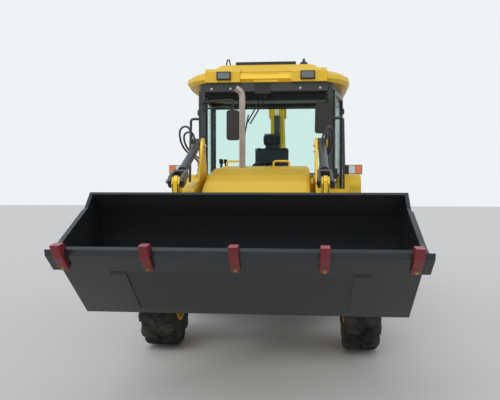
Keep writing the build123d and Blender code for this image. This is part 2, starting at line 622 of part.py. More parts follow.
def build_barrel(base, eye, shortest, radius, x, base_half):
    """A cylinder's barrel from its base eye, bored for the rod and its piston."""
    angle = heading(base, eye)
    length = shortest - EYE_R - ROD_PLAY
    pin(base, EYE_R, x - base_half, x + base_half)
    bar(polar(base, 30, angle), polar(base, length, angle), radius, x)
    bar(polar(base, length - 36, angle), polar(base, length, angle), radius + GLAND_T, x)
    bar(polar(base, BORE_START, angle), polar(base, length + 2, angle), radius * PISTON_SHARE + SEAT, x,
        mode=Mode.SUBTRACT)
    pin(base, CYLINDER_PIN_R + SEAT, x - base_half, x + base_half, mode=Mode.SUBTRACT)


def build_rod(base, eye, shortest, radius, barrel_radius, x, tip):
    """A cylinder's rod from its piston inside the barrel to a given distance before the eye."""
    angle = heading(base, eye)
    reach = math.dist(base, eye)
    start = BORE_START + ROD_PLAY + reach - shortest
    bar(polar(base, start, angle), polar(base, reach - tip, angle), radius, x)
    bar(polar(base, start, angle), polar(base, start + PISTON_T, angle), barrel_radius * PISTON_SHARE, x)


with BuildPart() as lift_barrels:
    build_barrel(LIFT_BASE, LIFT_EYE, LIFT_SHORTEST, LIFT_BARREL_R, ARM_CENTRE, 58)
    mirror(about=Plane.YZ)
lift_barrels.part.label = "lift_barrels"

with BuildPart() as lift_rods:
    build_rod(LIFT_BASE, LIFT_EYE, LIFT_SHORTEST, LIFT_ROD_R, LIFT_BARREL_R, ARM_CENTRE, 40)
    pin(LIFT_EYE, EYE_R, ARM_CENTRE - LIFT_EYE_HALF, ARM_CENTRE + LIFT_EYE_HALF)
    mirror(about=Plane.YZ)
lift_rods.part.label = "lift_rods"

TILT_BARREL = TILT_SHORTEST - FORK_REACH + EYE_R
with BuildPart() as tilt_barrels:
    build_barrel(TILT_BASE, FORK_PIN, TILT_BARREL, TILT_BARREL_R, ARM_CENTRE, TILT_BASE_HALF)
    mirror(about=Plane.YZ)
tilt_barrels.part.label = "tilt_barrels"

TILT_DIR = heading(TILT_BASE, FORK_PIN)
with BuildPart() as tilt_rods:
    build_rod(TILT_BASE, FORK_PIN, TILT_SHORTEST, TILT_ROD_R, TILT_BARREL_R, ARM_CENTRE, FORK_REACH + SEAT)
    mirror(about=Plane.YZ)
tilt_rods.part.label = "tilt_rods"

FORK_SIDES = ((503.0, 503.0 + FORK_T), (617.0 - FORK_T, 617.0))
with BuildPart() as tilt_forks:
    plate([beside(FORK_PIN, TILT_DIR, -FORK_REACH, 30), beside(FORK_PIN, TILT_DIR, FORK_BRIDGE - FORK_REACH, 30),
           beside(FORK_PIN, TILT_DIR, FORK_BRIDGE - FORK_REACH, -30),
           beside(FORK_PIN, TILT_DIR, -FORK_REACH, -30)], FORK_SIDES[0][0], FORK_SIDES[1][1])
    for low, high in FORK_SIDES:
        plate([beside(FORK_PIN, TILT_DIR, FORK_BRIDGE - FORK_REACH - 5, 30), beside(FORK_PIN, TILT_DIR, -70, 44),
               beside(FORK_PIN, TILT_DIR, 20, 44), beside(FORK_PIN, TILT_DIR, 46, 20),
               beside(FORK_PIN, TILT_DIR, 46, -20), beside(FORK_PIN, TILT_DIR, 20, -44),
               beside(FORK_PIN, TILT_DIR, -70, -44),
               beside(FORK_PIN, TILT_DIR, FORK_BRIDGE - FORK_REACH - 5, -30)], low, high)
    pin(FORK_PIN, PIN_R, FORK_SIDES[0][0] - 6, FORK_SIDES[0][0] + 3)
    pin(FORK_PIN, PIN_R, FORK_SIDES[1][1] - 3, FORK_SIDES[1][1] + 6)
    mirror(about=Plane.YZ)
tilt_forks.part.label = "tilt_forks"

# Cab: floor tub, posts with the roof rails, roof, glass and the two rear-hinged doors
with BuildPart() as cab_floor:
    with BuildSketch(Plane.XY.offset(FLOOR_H)):
        with BuildLine():
            Polyline((-CAB_FRONT_HALF, at(-640)), (CAB_FRONT_HALF, at(-640)), (CAB_REAR_HALF, at(CAB_DOOR_REAR)),
                     (WELL_INNER - 2, at(CAB_DOOR_REAR - 2)), (WELL_INNER - 2, at(CAB_REAR)),
                     (2 - WELL_INNER, at(CAB_REAR)), (2 - WELL_INNER, at(CAB_DOOR_REAR - 2)),
                     (-CAB_REAR_HALF, at(CAB_DOOR_REAR)), close=True)
        make_face()
    extrude(amount=FLOOR_TOP - FLOOR_H)
cab_floor.part.label = "cab_floor"

POSTS = ((CAB_FRONT_HALF, CAB_FRONT, FLOOR_TOP), (CAB_REAR_HALF, CAB_DOOR_REAR + 10, SHELF_H),
         (CAB_REAR_HALF, CAB_REAR, SHELF_H))
SIDE_TURN = math.degrees(math.atan2(CAB_REAR_HALF - CAB_FRONT_HALF, -CAB_DOOR_REAR + CAB_FRONT))


def side_plane(side):
    """A plane on the cab's slanted side, x to the rear and y up, z towards +X on both sides."""
    turn = math.radians(SIDE_TURN)
    start = (side * CAB_FRONT_HALF, at(CAB_FRONT), 0.0)
    along = (side * math.sin(turn), math.cos(turn), 0.0)
    out = (math.cos(turn), -side * math.sin(turn), 0.0)
    return Plane(origin=start, x_dir=along, z_dir=out)


def hinge_axis(side):
    """The door's hinge line, on the outer face at the rear edge."""
    face = side_plane(side)
    return face.origin + face.x_dir * (DOOR_START + DOOR_LENGTH) + face.z_dir * 18.0 * side


with BuildPart() as cab_frame:
    for side in (1, -1):
        for x, ahead, low in POSTS:
            middle = side * (x - POST_T / 2.0)
            box(middle - POST_T / 2.0, middle + POST_T / 2.0, ahead - POST_T, ahead, low, ROOF_BASE)
        with BuildSketch(Plane.XY.offset(HEADER_H)):
            with BuildLine():
                Polyline((side * CAB_FRONT_HALF, at(CAB_FRONT - 20)),
                         (side * CAB_REAR_HALF, at(CAB_DOOR_REAR + 10)),
                         (side * CAB_REAR_HALF, at(CAB_REAR - 50)),
                         (side * (CAB_REAR_HALF - POST_T), at(CAB_REAR - 50)),
                         (side * (CAB_REAR_HALF - POST_T), at(CAB_DOOR_REAR + 10)),
                         (side * (CAB_FRONT_HALF - POST_T), at(CAB_FRONT - 20)), close=True)
            make_face()
        extrude(amount=HEADER_T)
        line = hinge_axis(side)
        for height in HINGE_HEIGHTS:
            with BuildSketch(Plane.XY.offset(height - 12)):
                with Locations((line.X, line.Y)):
                    Circle(16)
                with Locations((side * 845, (line.Y + at(-1500)) / 2.0 + 8)):
                    Rectangle(50, abs(line.Y - at(-1500)) + 14)
            extrude(amount=12)
            with BuildSketch(Plane.XY.offset(height)):
                with Locations((line.X, line.Y)):
                    Circle(HINGE_PIN_R)
            extrude(amount=60)
    box(-CAB_FRONT_HALF + 10, CAB_FRONT_HALF - 10, CAB_FRONT - POST_T, CAB_FRONT, HEADER_H, ROOF_BASE)
    box(-CAB_REAR_HALF + 10, CAB_REAR_HALF - 10, CAB_REAR - POST_T, CAB_REAR, HEADER_H, ROOF_BASE)
    box(-CAB_FRONT_HALF + POST_T, CAB_FRONT_HALF - POST_T, CAB_FRONT - 45, CAB_FRONT - 10, FLOOR_TOP,
        FRONT_WALL_TOP)
    plate([(CAB_FRONT, HEADER_H - 54), (CAB_FRONT + VISOR_DEPTH, HEADER_H - 34), (CAB_FRONT + VISOR_DEPTH, ROOF_BASE),
           (CAB_FRONT, ROOF_BASE)], -CAB_FRONT_HALF + 55, CAB_FRONT_HALF - 55)
cab_frame.part.label = "cab_frame"

# Roof: straight-sided rings round one plan, a lower crown on top, and pods that hold the work lamps
ROOF_PLAN = ((560, -590), (700, -640), (800, -740), (890, -900), (915, -1200), (915, -1900), (880, -2230),
             (820, -2370), (740, -2420))
ROOF_RINGS = ((0.0, -25.0), (35.0, 0.0), (80.0, -10.0), (125.0, -70.0))
ROOF_MIDDLE = -1500.0
CROWN_RINGS = ((115.0, 620.0, -640.0, -2350.0), (210.0, 520.0, -760.0, -2250.0))
POD_FRONT = -580.0
POD_REAR = -2432.0
POD_X = (270.0, 640.0)


def roof_ring(rise, inset):
    """One ring of the roof, at a height over its base and moved in or out all round."""
    grown = (ROOF_PLAN[5][0] + inset) / ROOF_PLAN[5][0]
    right = [(x * grown, at(ROOF_MIDDLE + (a - ROOF_MIDDLE) * grown)) for x, a in ROOF_PLAN]
    with BuildSketch(Plane.XY.offset(ROOF_BASE + rise)) as ring:
        with BuildLine():
            Polyline(*right, *[(-x, y) for x, y in reversed(right)], close=True)
        make_face()
    return ring.sketch


def crown_ring(rise, half, front, rear):
    """One rounded rectangle of the crown on top of the roof."""
    with BuildSketch(Plane.XY.offset(ROOF_BASE + rise)) as ring:
        with Locations((0, at((front + rear) / 2.0))):
            RectangleRounded(2.0 * half, front - rear, 90)
    return ring.sketch


with BuildPart() as cab_roof:
    loft([roof_ring(rise, inset) for rise, inset in ROOF_RINGS], ruled=True)
    loft([crown_ring(*ring) for ring in CROWN_RINGS], ruled=True)
    for side in (1, -1):
        low, high = sides(*POD_X, side)
        plate([(POD_FRONT, ROOF_BASE), (POD_FRONT, ROOF_BASE + 108), (POD_FRONT - 60, ROOF_BASE + 150),
               (-900, ROOF_BASE + 172), (-900, ROOF_BASE)], low, high)
        plate([(POD_REAR, ROOF_BASE), (POD_REAR, ROOF_BASE + 108), (POD_REAR + 60, ROOF_BASE + 150),
               (-2100, ROOF_BASE + 172), (-2100, ROOF_BASE)], low, high)
    box(-130, 130, -700, -600, ROOF_BASE, ROOF_BASE + 100)
cab_roof.part.label = "cab_roof"

with BuildPart() as cab_glass:
    front_x = CAB_FRONT_HALF - POST_T
    rear_x = CAB_REAR_HALF - POST_T
    box(-front_x, front_x, CAB_FRONT - GLASS_SET - GLASS_T, CAB_FRONT - GLASS_SET, FRONT_WALL_TOP, HEADER_H)
    box(-rear_x, rear_x, CAB_REAR - GLASS_SET - GLASS_T, CAB_REAR - GLASS_SET, SHELF_H, HEADER_H)
    for side in (1, -1):
        low = side * (CAB_REAR_HALF - POST_T / 2.0) - GLASS_T / 2.0
        box(low, low + GLASS_T, CAB_REAR, CAB_DOOR_REAR + 10 - POST_T, SHELF_H, HEADER_H)
cab_glass.part.label = "cab_glass"


def door_window():
    """The four corners of the door's window, along the door and up."""
    near = DOOR_START + DOOR_BORDER
    far = DOOR_START + DOOR_LENGTH - DOOR_BORDER
    low = DOOR_BOTTOM + DOOR_BORDER
    high = HEADER_H - 6 - DOOR_BORDER
    return [(near, low), (far, low), (far, high), (near, high)]


def build_door(side):
    """The door frame with its window hole."""
    face = side_plane(side)
    with BuildSketch(face.offset(-19 - side)) as frame_outline:
        with BuildLine():
            Polyline((DOOR_START, DOOR_BOTTOM), (DOOR_START + DOOR_LENGTH, DOOR_BOTTOM),
                     (DOOR_START + DOOR_LENGTH, HEADER_H - 6), (DOOR_START, HEADER_H - 6), close=True)
        make_face()
        with BuildLine():
            Polyline(*door_window(), close=True)
        make_face(mode=Mode.SUBTRACT)
    extrude(frame_outline.sketch, amount=DOOR_T)
    line = hinge_axis(side)
    for height in HINGE_HEIGHTS:
        with BuildSketch(Plane.XY.offset(height - 13)) as relief:
            with Locations((line.X, line.Y)):
                Circle(17)
            with Locations((side * 845, (line.Y + at(-1500)) / 2.0 + 8)):
                Rectangle(60, abs(line.Y - at(-1500)) + 24)
        extrude(relief.sketch, amount=14, mode=Mode.SUBTRACT)
        ahead = FRONT_AXLE_Y - line.Y
        upright(line.X, ahead, 16, height + SEAT, height + SEAT + 50)
        upright(line.X, ahead, HINGE_PIN_R + SEAT, height - 20, height + 70, mode=Mode.SUBTRACT)


def build_door_glass(side):
    """The glass inside the door frame."""
    face = side_plane(side)
    with BuildSketch(face.offset(-4)) as pane:
        with BuildLine():
            Polyline(*door_window(), close=True)
        make_face()
    extrude(pane.sketch, amount=GLASS_T)


with BuildPart() as door_left:
    build_door(1)
door_left.part.label = "door_left"

with BuildPart() as door_right:
    build_door(-1)
door_right.part.label = "door_right"

with BuildPart() as door_glass_left:
    build_door_glass(1)
door_glass_left.part.label = "door_glass_left"

with BuildPart() as door_glass_right:
    build_door_glass(-1)
door_glass_right.part.label = "door_glass_right"

# Rear fenders, arched over the rear wheels, with the lower rear wall of the cab between them
with BuildPart() as fenders:
    with BuildSketch(Plane.YZ.offset(FENDER_INNER)):
        with BuildLine():
            FilletPolyline((at(FENDER_FRONT), 1160), (at(FENDER_FRONT), SHELF_H), (at(FENDER_REAR), SHELF_H),
                           (at(FENDER_REAR), 1420), radius=FENDER_ROUND)
            offset(amount=FENDER_T, side=Side.RIGHT)
        make_face()
    extrude(amount=FENDER_OUTER - FENDER_INNER)
    box(WELL_INNER, FENDER_INNER, WELL_REAR, FENDER_FRONT - FENDER_T, SHELF_H - FENDER_T, SHELF_H)
    box(WELL_INNER, FENDER_INNER, FENDER_FRONT - FENDER_T, FENDER_FRONT, FLOOR_TOP, SHELF_H)
    box(WELL_INNER, WELL_INNER + 22, WELL_REAR, FENDER_FRONT - FENDER_T, FLOOR_TOP, SHELF_H - FENDER_T)
    mirror(about=Plane.YZ)
    box(-WELL_INNER, WELL_INNER, WELL_REAR, WELL_REAR + 30, FLOOR_TOP, SHELF_H)
fenders.part.label = "fenders"

# Inside the cab: seat base, steering column, side and rear consoles with their levers
SEAT_FRAME = (190.0, -1850.0, -1480.0)
SEAT_FRAME_H = 1380.0
CUSHION_HALF = 240.0
LEVERS = ((-540.0, -1080.0, 1640.0), (-500.0, -1180.0, 1640.0), (-560.0, -1290.0, 1640.0),
          (-260.0, -2150.0, 1550.0), (-150.0, -2150.0, 1550.0), (150.0, -2150.0, 1550.0),
          (260.0, -2150.0, 1550.0))
with BuildPart() as cab_controls:
    box(-SEAT_FRAME[0], SEAT_FRAME[0], SEAT_FRAME[1], SEAT_FRAME[2], FLOOR_TOP, SEAT_FRAME_H)
    box(-70, 70, -975, -835, FLOOR_TOP, FLOOR_TOP + 38)
    with BuildSketch(Plane(origin=(0, at(-905), 1135), z_dir=(0, 0.36, 1.0))):
        Circle(45)
    extrude(amount=625)
    with BuildSketch(Plane(origin=(0, at(-1118), 1716), z_dir=(0, 0.36, 1.0))):
        Circle(190)
        Circle(160, mode=Mode.SUBTRACT)
        Rectangle(340, 30)
    extrude(amount=26)
    plate([(-960, FLOOR_TOP), (-980, 1600), (-1060, 1640), (-1400, 1640), (-1440, 1600), (-1440, FLOOR_TOP)],
          -598, -430)
    for low, high in ((-320.0, -110.0), (110.0, 320.0)):
        box(low, high, -2240, -2080, FLOOR_TOP, 1550)
    for x, ahead, foot in LEVERS:
        upright(x, ahead, 9, foot, foot + 170)
        upright(x, ahead, 20, foot + 140, foot + 190)
cab_controls.part.label = "cab_controls"

with BuildPart() as seat_cushion:
    box(-CUSHION_HALF, CUSHION_HALF, -1860, -1380, SEAT_FRAME_H + SEAT, 1500)
    box(-CUSHION_HALF, CUSHION_HALF, -1960, -1860, SEAT_FRAME_H + SEAT, 2020)
    box(-120, 120, -1950, -1870, 2020, 2200)
seat_cushion.part.label = "seat_cushion"

# Fuel and oil tanks between the axles, with two steps outside each
TANK_OUT = 800.0
STEP_OUT = 960.0
STEP_HEIGHTS = (420.0, 660.0)
with BuildPart() as side_tanks:
    for side in (1, -1):
        plate([(-1330, 640), (-1330, FLOOR_H - SEAT), (-780, FLOOR_H - SEAT), (-780, 640)],
              *sides(RAIL_OUTER, TANK_OUT, side), corner=35)
        for height in STEP_HEIGHTS:
            box(*sides(TANK_OUT - 5, STEP_OUT, side), -1290, -830, height, height + 30)
        box(*sides(TANK_OUT - 10, TANK_OUT + 6, side), -1290, -830, STEP_HEIGHTS[0], 760)
        for ahead in (-1290, -840):
            box(*sides(TANK_OUT - 5, STEP_OUT, side), ahead, ahead + 10, STEP_HEIGHTS[0], STEP_HEIGHTS[1] + 30)
side_tanks.part.label = "side_tanks"

# Lamps: four on the roof, two on the nose, two on the tower brackets and two behind the fenders
LAMP_W = 150.0
LAMP_H = 88.0
LAMP_T = 28.0
ROOF_LAMP_X = 440.0
BRACKET_LAMP_X = (850.0, 990.0)
BRACKET_LAMP_H = 95.0
BRACKET_LAMP_T = 50.0
with BuildPart() as lamps:
    for side in (1, -1):
        low, high = sides(ROOF_LAMP_X - LAMP_W / 2.0, ROOF_LAMP_X + LAMP_W / 2.0, side)
        box(low, high, POD_FRONT + SEAT, POD_FRONT + LAMP_T, ROOF_BASE + 20, ROOF_BASE + 20 + LAMP_H)
        box(low, high, POD_REAR - LAMP_T, POD_REAR - SEAT, ROOF_BASE + 20, ROOF_BASE + 20 + LAMP_H)
        box(*sides(200, 400, side), NOSE_FRONT + SEAT, NOSE_FRONT + 16, 1260, 1360)
        foot = LAMP_POST_TOP + SEAT
        box(*sides(*BRACKET_LAMP_X, side), LAMP_BRACKET[1], LAMP_BRACKET[1] + BRACKET_LAMP_T, foot,
            LAMP_POST_TOP + BRACKET_LAMP_H)
        box(*sides(*LAMP_POST_X, side), *LAMP_BRACKET, foot, LAMP_POST_TOP + BRACKET_LAMP_H)
        box(*sides(920, 1080, side), FENDER_REAR - 33, FENDER_REAR - SEAT, 1440, 1560)
lamps.part.label = "lamps"

# Mirrors on tube brackets from the front posts, and a handrail beside each door
POST_MIDDLE = CAB_FRONT_HALF - POST_T / 2.0
MIRROR_T = 40.0
LEFT_MIRROR = (612.0, -590.0, 2235.0)
LEFT_MIRROR_SLANT = 0.25
LEFT_MIRROR_ARM_H = 2440.0
with BuildPart() as mirrors:
    with BuildSketch(Plane.XZ.offset(-at(-430))):
        with Locations((-326, 2156)):
            RectangleRounded(134, 309, 30)
    extrude(amount=-MIRROR_T)
    tube([(-POST_MIDDLE, CAB_FRONT + SEAT, 2420), (-POST_MIDDLE, -630, 2420), (-326, -450, 2420),
          (-326, -450, 2290)], MIRROR_TUBE_R, 35)
    tube([(-POST_MIDDLE, CAB_FRONT + SEAT, 2350), (-POST_MIDDLE, -640, 2350), (-345, -455, 2350),
          (-345, -455, 2270)], MIRROR_TUBE_R - 2, 30)
    x, ahead, height = LEFT_MIRROR
    with BuildSketch(Plane(origin=(x, at(ahead), height), x_dir=(1, LEFT_MIRROR_SLANT, 0),
                           z_dir=(-LEFT_MIRROR_SLANT, 1, 0.08))):
        RectangleRounded(176, 320, 32)
    extrude(amount=MIRROR_T)
    arm_a = ahead - (POST_MIDDLE - x) * LEFT_MIRROR_SLANT - MIRROR_T / 2.0
    tube([(POST_MIDDLE, CAB_FRONT + SEAT, LEFT_MIRROR_ARM_H), (POST_MIDDLE, arm_a, LEFT_MIRROR_ARM_H),
          (POST_MIDDLE, arm_a, height + 95)], MIRROR_TUBE_R, 35)
mirrors.part.label = "mirrors"

RAIL_A = -710.0
FLOOR_FRONT = -640.0
FLOOR_SLANT = (CAB_REAR_HALF - CAB_FRONT_HALF) / (FLOOR_FRONT - CAB_DOOR_REAR)
RAIL_FOOT_X = CAB_FRONT_HALF + (FLOOR_FRONT - RAIL_A + RAIL_R) * FLOOR_SLANT + SEAT
with BuildPart() as handrails:
    for side in (1, -1):
        tube([(side * (CAB_FRONT_HALF + SEAT), RAIL_A, 2250), (side * 815, RAIL_A, 2250), (side * 835, RAIL_A, 1400),
              (side * 835, RAIL_A, 1085), (side * RAIL_FOOT_X, RAIL_A, 1085)], RAIL_R, 30)
handrails.part.label = "handrails"

# Backhoe frame across the rear, with the two leg housings and the king post bracket
FRAME_FRONT = RAIL_REAR
FRAME_BACK = -3110.0
LEG_CLEAR = 0.3
HOUSING_T = 7.0
KING_LUGS = ((450.0, 530.0), (980.0, 1060.0))
KING_LUG_R = 110.0
with BuildPart() as rear_frame:
    box(-930, 930, FRAME_BACK, FRAME_FRONT, 960, 1060)
    box(-930, 930, FRAME_BACK, FRAME_FRONT, 450, 560)
    for x in (-600, -20, 560):
        box(x, x + 40, -3080, -2980, 560, 960)
    for side in (1, -1):
        outer = LEG_HALF + LEG_CLEAR + HOUSING_T
        middle = (FRAME_BACK + FRAME_FRONT) / 2.0
        box(side * STABILIZER_X - outer, side * STABILIZER_X + outer, middle - 90, middle + 90, 440, 1400)
        inner = LEG_HALF + LEG_CLEAR
        box(side * STABILIZER_X - inner, side * STABILIZER_X + inner, middle - inner, middle + inner, 430, 1390,
            mode=Mode.SUBTRACT)
    for low, high in KING_LUGS:
        with BuildSketch(Plane.XY.offset(low)):
            with BuildLine():
                Polyline((-170, at(FRAME_BACK)), (170, at(FRAME_BACK)), (105, at(KING_A + 32)),
                         (-105, at(KING_A + 32)), close=True)
            make_face()
            with Locations((0, at(KING_A))):
                Circle(KING_LUG_R)
        extrude(amount=high - low)
    upright(0, KING_A, SWING_PIN_R, KING_LUGS[0][1], KING_LUGS[1][0])
rear_frame.part.label = "rear_frame"


def build_stabilizer(side):
    """A leg that slides down out of its housing, with its foot."""
    middle = (FRAME_BACK + FRAME_FRONT) / 2.0
    box(side * STABILIZER_X - LEG_HALF, side * STABILIZER_X + LEG_HALF, middle - LEG_HALF, middle + LEG_HALF,
        330, 1340)
    box(side * STABILIZER_X - 120, side * STABILIZER_X + 120, middle - 120, middle + 120, 300, 330)


with BuildPart() as stabilizer_left:
    build_stabilizer(1)
stabilizer_left.part.label = "stabilizer_left"

with BuildPart() as stabilizer_right:
    build_stabilizer(-1)
stabilizer_right.part.label = "stabilizer_right"

# Swing post between the two lugs of the bracket
POST_LUGS = ((-HOE_HALF - 7 - HOE_LUG_T, -HOE_HALF - 7), (HOE_HALF + 7, HOE_HALF + 7 + HOE_LUG_T))
with BuildPart() as swing_post:
    upright(0, KING_A, 100, KING_LUGS[0][1] + 3, KING_LUGS[1][0] - 3)
    box(-90, 90, KING_A - 100, KING_A, 540, 965)
    for low, high in POST_LUGS:
        plate([(-3560, 545), (-3560, 960), (-3650, 965), (-3665, 1040), (-3750, 1045), (-3800, 1010),
               (-3820, 900), (-3880, 780), (-3895, 700), (-3860, 625), (-3790, 560)], low, high)
    box(POST_LUGS[0][1], POST_LUGS[1][0], -3600, -3560, 560, 950)
    upright(0, KING_A, SWING_PIN_R + SEAT, 520, 990, mode=Mode.SUBTRACT)
    pin(HOE_FOOT, HOE_FOOT_R, -150, 150)
    pin(BOOM_CYL_BASE, CYLINDER_PIN_R, -150, 150)
swing_post.part.label = "swing_post"

with BuildPart() as boom:
    plate([beside(HOE_FOOT, BOOM_ANGLE, -65, 35), beside(HOE_FOOT, BOOM_ANGLE, 0, 64),
           beside(HOE_FOOT, BOOM_ANGLE, 250, 30), beside(HOE_FOOT, BOOM_ANGLE, 1000, 75),
           beside(HOE_FOOT, BOOM_ANGLE, 1500, 60), beside(BOOM_END, BOOM_ANGLE, 0, 70),
           beside(BOOM_END, BOOM_ANGLE, 70, 0), beside(BOOM_END, BOOM_ANGLE, 0, -70),
           beside(HOE_FOOT, BOOM_ANGLE, 1500, -90), beside(HOE_FOOT, BOOM_ANGLE, 900, -130),
           beside(HOE_FOOT, BOOM_ANGLE, 400, -110), beside(HOE_FOOT, BOOM_ANGLE, 0, -75),
           beside(HOE_FOOT, BOOM_ANGLE, -70, -40)], -HOE_HALF, HOE_HALF, corner=HOE_CORNER)
    pin(HOE_FOOT, HOE_FOOT_R + SEAT, -HOE_HALF, HOE_HALF, mode=Mode.SUBTRACT)
    pin(BOOM_END, HOE_FOOT_R + SEAT, -HOE_HALF, HOE_HALF, mode=Mode.SUBTRACT)
    pin(DIPPER_CYL_BASE, CYLINDER_PIN_R, -97, 97)
    for low, high in ((-91.0, -66.0), (66.0, 91.0)):
        plate([beside(HOE_FOOT, BOOM_ANGLE, 700, 40), beside(BOOM_CYL_EYE, BOOM_ANGLE, -45, 20),
               beside(BOOM_CYL_EYE, BOOM_ANGLE, -20, 45), beside(BOOM_CYL_EYE, BOOM_ANGLE, 20, 45),
               beside(BOOM_CYL_EYE, BOOM_ANGLE, 45, 20), beside(HOE_FOOT, BOOM_ANGLE, 1000, 60)], low, high)
        plate([beside(DIPPER_CYL_BASE, BOOM_ANGLE, -150, 110), beside(DIPPER_CYL_BASE, BOOM_ANGLE, -45, -20),
               beside(DIPPER_CYL_BASE, BOOM_ANGLE, -20, -45), beside(DIPPER_CYL_BASE, BOOM_ANGLE, 20, -45),
               beside(DIPPER_CYL_BASE, BOOM_ANGLE, 45, -20), beside(DIPPER_CYL_BASE, BOOM_ANGLE, 150, 110)],
              low, high)
boom.part.label = "boom"

with BuildPart() as dipper:
    for low in (-132.0, 104.0):
        plate([beside(BOOM_END, DIPPER_ANGLE, 0, 75), beside(BOOM_END, DIPPER_ANGLE, 330, 80),
               beside(BOOM_END, DIPPER_ANGLE, 330, -110), beside(BOOM_END, DIPPER_ANGLE, 0, -200),
               polar(DIPPER_CYL_EYE, 60, 60), polar(DIPPER_CYL_EYE, 60, -40)], low, low + 28)
    plate([beside(BOOM_END, DIPPER_ANGLE, 320, 70), beside(DIPPER_END, DIPPER_ANGLE, -60, 62),
           beside(DIPPER_END, DIPPER_ANGLE, 50, 30), beside(DIPPER_END, DIPPER_ANGLE, 50, -30),
           beside(DIPPER_END, DIPPER_ANGLE, -60, -66), beside(BOOM_END, DIPPER_ANGLE, 700, -90),
           beside(BOOM_END, DIPPER_ANGLE, 400, -110), beside(BOOM_END, DIPPER_ANGLE, 260, -110)], -104, 104)
    for low in (-91.0, 66.0):
        plate([beside(BOOM_END, DIPPER_ANGLE, 275, -60), beside(BOOM_END, DIPPER_ANGLE, 140, -150),
               beside(BUCKET_CYL_BASE, DIPPER_ANGLE, -50, 10), beside(BUCKET_CYL_BASE, DIPPER_ANGLE, -20, -50),
               beside(BUCKET_CYL_BASE, DIPPER_ANGLE, 40, -45), beside(BOOM_END, DIPPER_ANGLE, 360, -100)],
              low, low + 25)
    pin(DIPPER_END, DIPPER_PIN_R + SEAT, -104, 104, mode=Mode.SUBTRACT)
    pin(ROCKER_PIN, 30, -150, 150)
    pin(BOOM_END, HOE_FOOT_R, -150, 150)
    pin(BUCKET_CYL_BASE, CYLINDER_PIN_R, -97, 97)
dipper.part.label = "dipper"

with BuildPart() as hoe_bucket:
    plate([beside(DIPPER_END, HOE_BUCKET_ANGLE, u, -w) for u, w in
           ((80, -120), (110, 0), (180, 150), (225, 290), (420, 330), (600, 235), (740, 60), (760, 40))],
          -275, 275)
    plate([beside(DIPPER_END, HOE_BUCKET_ANGLE, u, -w) for u, w in
           ((90, -400), (106, -110), (134, 0), (200, 140), (243, 270), (415, 306), (585, 216),
            (722, 44), (760, -400))],
          -257, 257, mode=Mode.SUBTRACT)
    for low in (-135.0, 107.0):
        plate([beside(DIPPER_END, HOE_BUCKET_ANGLE, u, -w) for u, w in
               ((-45, -25), (0, -55), (95, -70), (190, 150), (215, 250), (110, 225), (45, 190), (-45, 25))],
              low, low + 28)
    pin(DIPPER_END, DIPPER_PIN_R, -150, 150)
    for x in (-240, -125, -20, 85, 200):
        plate([beside(DIPPER_END, HOE_BUCKET_ANGLE, u, -w) for u, w in
               ((690, 104), (740, 60), (760, 40), (850, -30), (750, 70), (700, 128))], x, x + 40)
hoe_bucket.part.label = "hoe_bucket"

with BuildPart() as hoe_rocker:
    for low in (-135.0, 107.0):
        for_dir = heading(ROCKER_PIN, ROCKER_END)
        plate([beside(ROCKER_PIN, for_dir, -45, 30), beside(ROCKER_PIN, for_dir, 0, 45),
               beside(ROCKER_END, for_dir, 0, 40), beside(ROCKER_END, for_dir, 40, 15),
               beside(ROCKER_END, for_dir, 40, -15), beside(ROCKER_END, for_dir, 0, -40),
               beside(ROCKER_PIN, for_dir, 0, -45), beside(ROCKER_PIN, for_dir, -45, -30)], low, low + 22)
        pin(ROCKER_PIN, 30 + SEAT, low, low + 22, mode=Mode.SUBTRACT)
    for low in (-145.0, 45.0):
        pin(ROCKER_END, 28, low, low + 100)
hoe_rocker.part.label = "hoe_rocker"

HOE_LINK_DIR = heading(ROCKER_END, EAR_PIN)
with BuildPart() as hoe_link:
    plate([beside(ROCKER_END, HOE_LINK_DIR, -40, 20), beside(ROCKER_END, HOE_LINK_DIR, 0, 42),
           beside(EAR_PIN, HOE_LINK_DIR, 0, 42), beside(EAR_PIN, HOE_LINK_DIR, 40, 0),
           beside(EAR_PIN, HOE_LINK_DIR, 0, -42), beside(ROCKER_END, HOE_LINK_DIR, 0, -42),
           beside(ROCKER_END, HOE_LINK_DIR, -40, -20)], -100, 100)
    plate([beside(ROCKER_END, HOE_LINK_DIR, -60, 80), beside(ROCKER_END, HOE_LINK_DIR, 130, 80),
           beside(ROCKER_END, HOE_LINK_DIR, 130, -80), beside(ROCKER_END, HOE_LINK_DIR, -60, -80)],
          -45, 45, mode=Mode.SUBTRACT)
    pin(ROCKER_END, 28 + SEAT, -100, 100, mode=Mode.SUBTRACT)
hoe_link.part.label = "hoe_link"

# Name, base pin, eye pin, shortest length, barrel and rod radius, half widths of base and eye
CYLINDERS = (("boom", BOOM_CYL_BASE, BOOM_CYL_EYE, BOOM_SHORTEST, 45.0, 25.0, 104.0, 62.0),
             ("dipper", DIPPER_CYL_BASE, DIPPER_CYL_EYE, DIPPER_SHORTEST, 48.0, 26.0, 62.0, 100.0),
             ("bucket", BUCKET_CYL_BASE, ROCKER_END, BUCKET_SHORTEST, 42.0, 23.0, 62.0, 42.0))
hoe_cylinders = []
for name, base, eye, shortest, radius, rod_r, base_half, eye_half in CYLINDERS:
    with BuildPart() as hoe_barrel:
        build_barrel(base, eye, shortest, radius, 0, base_half)
    hoe_barrel.part.label = name + "_barrel"
    hoe_cylinders.append(hoe_barrel)
    with BuildPart() as hoe_rod:
        build_rod(base, eye, shortest, rod_r, radius, 0, 40)
        pin(eye, EYE_R, -eye_half, eye_half)
    hoe_rod.part.label = name + "_rod"
    hoe_cylinders.append(hoe_rod)

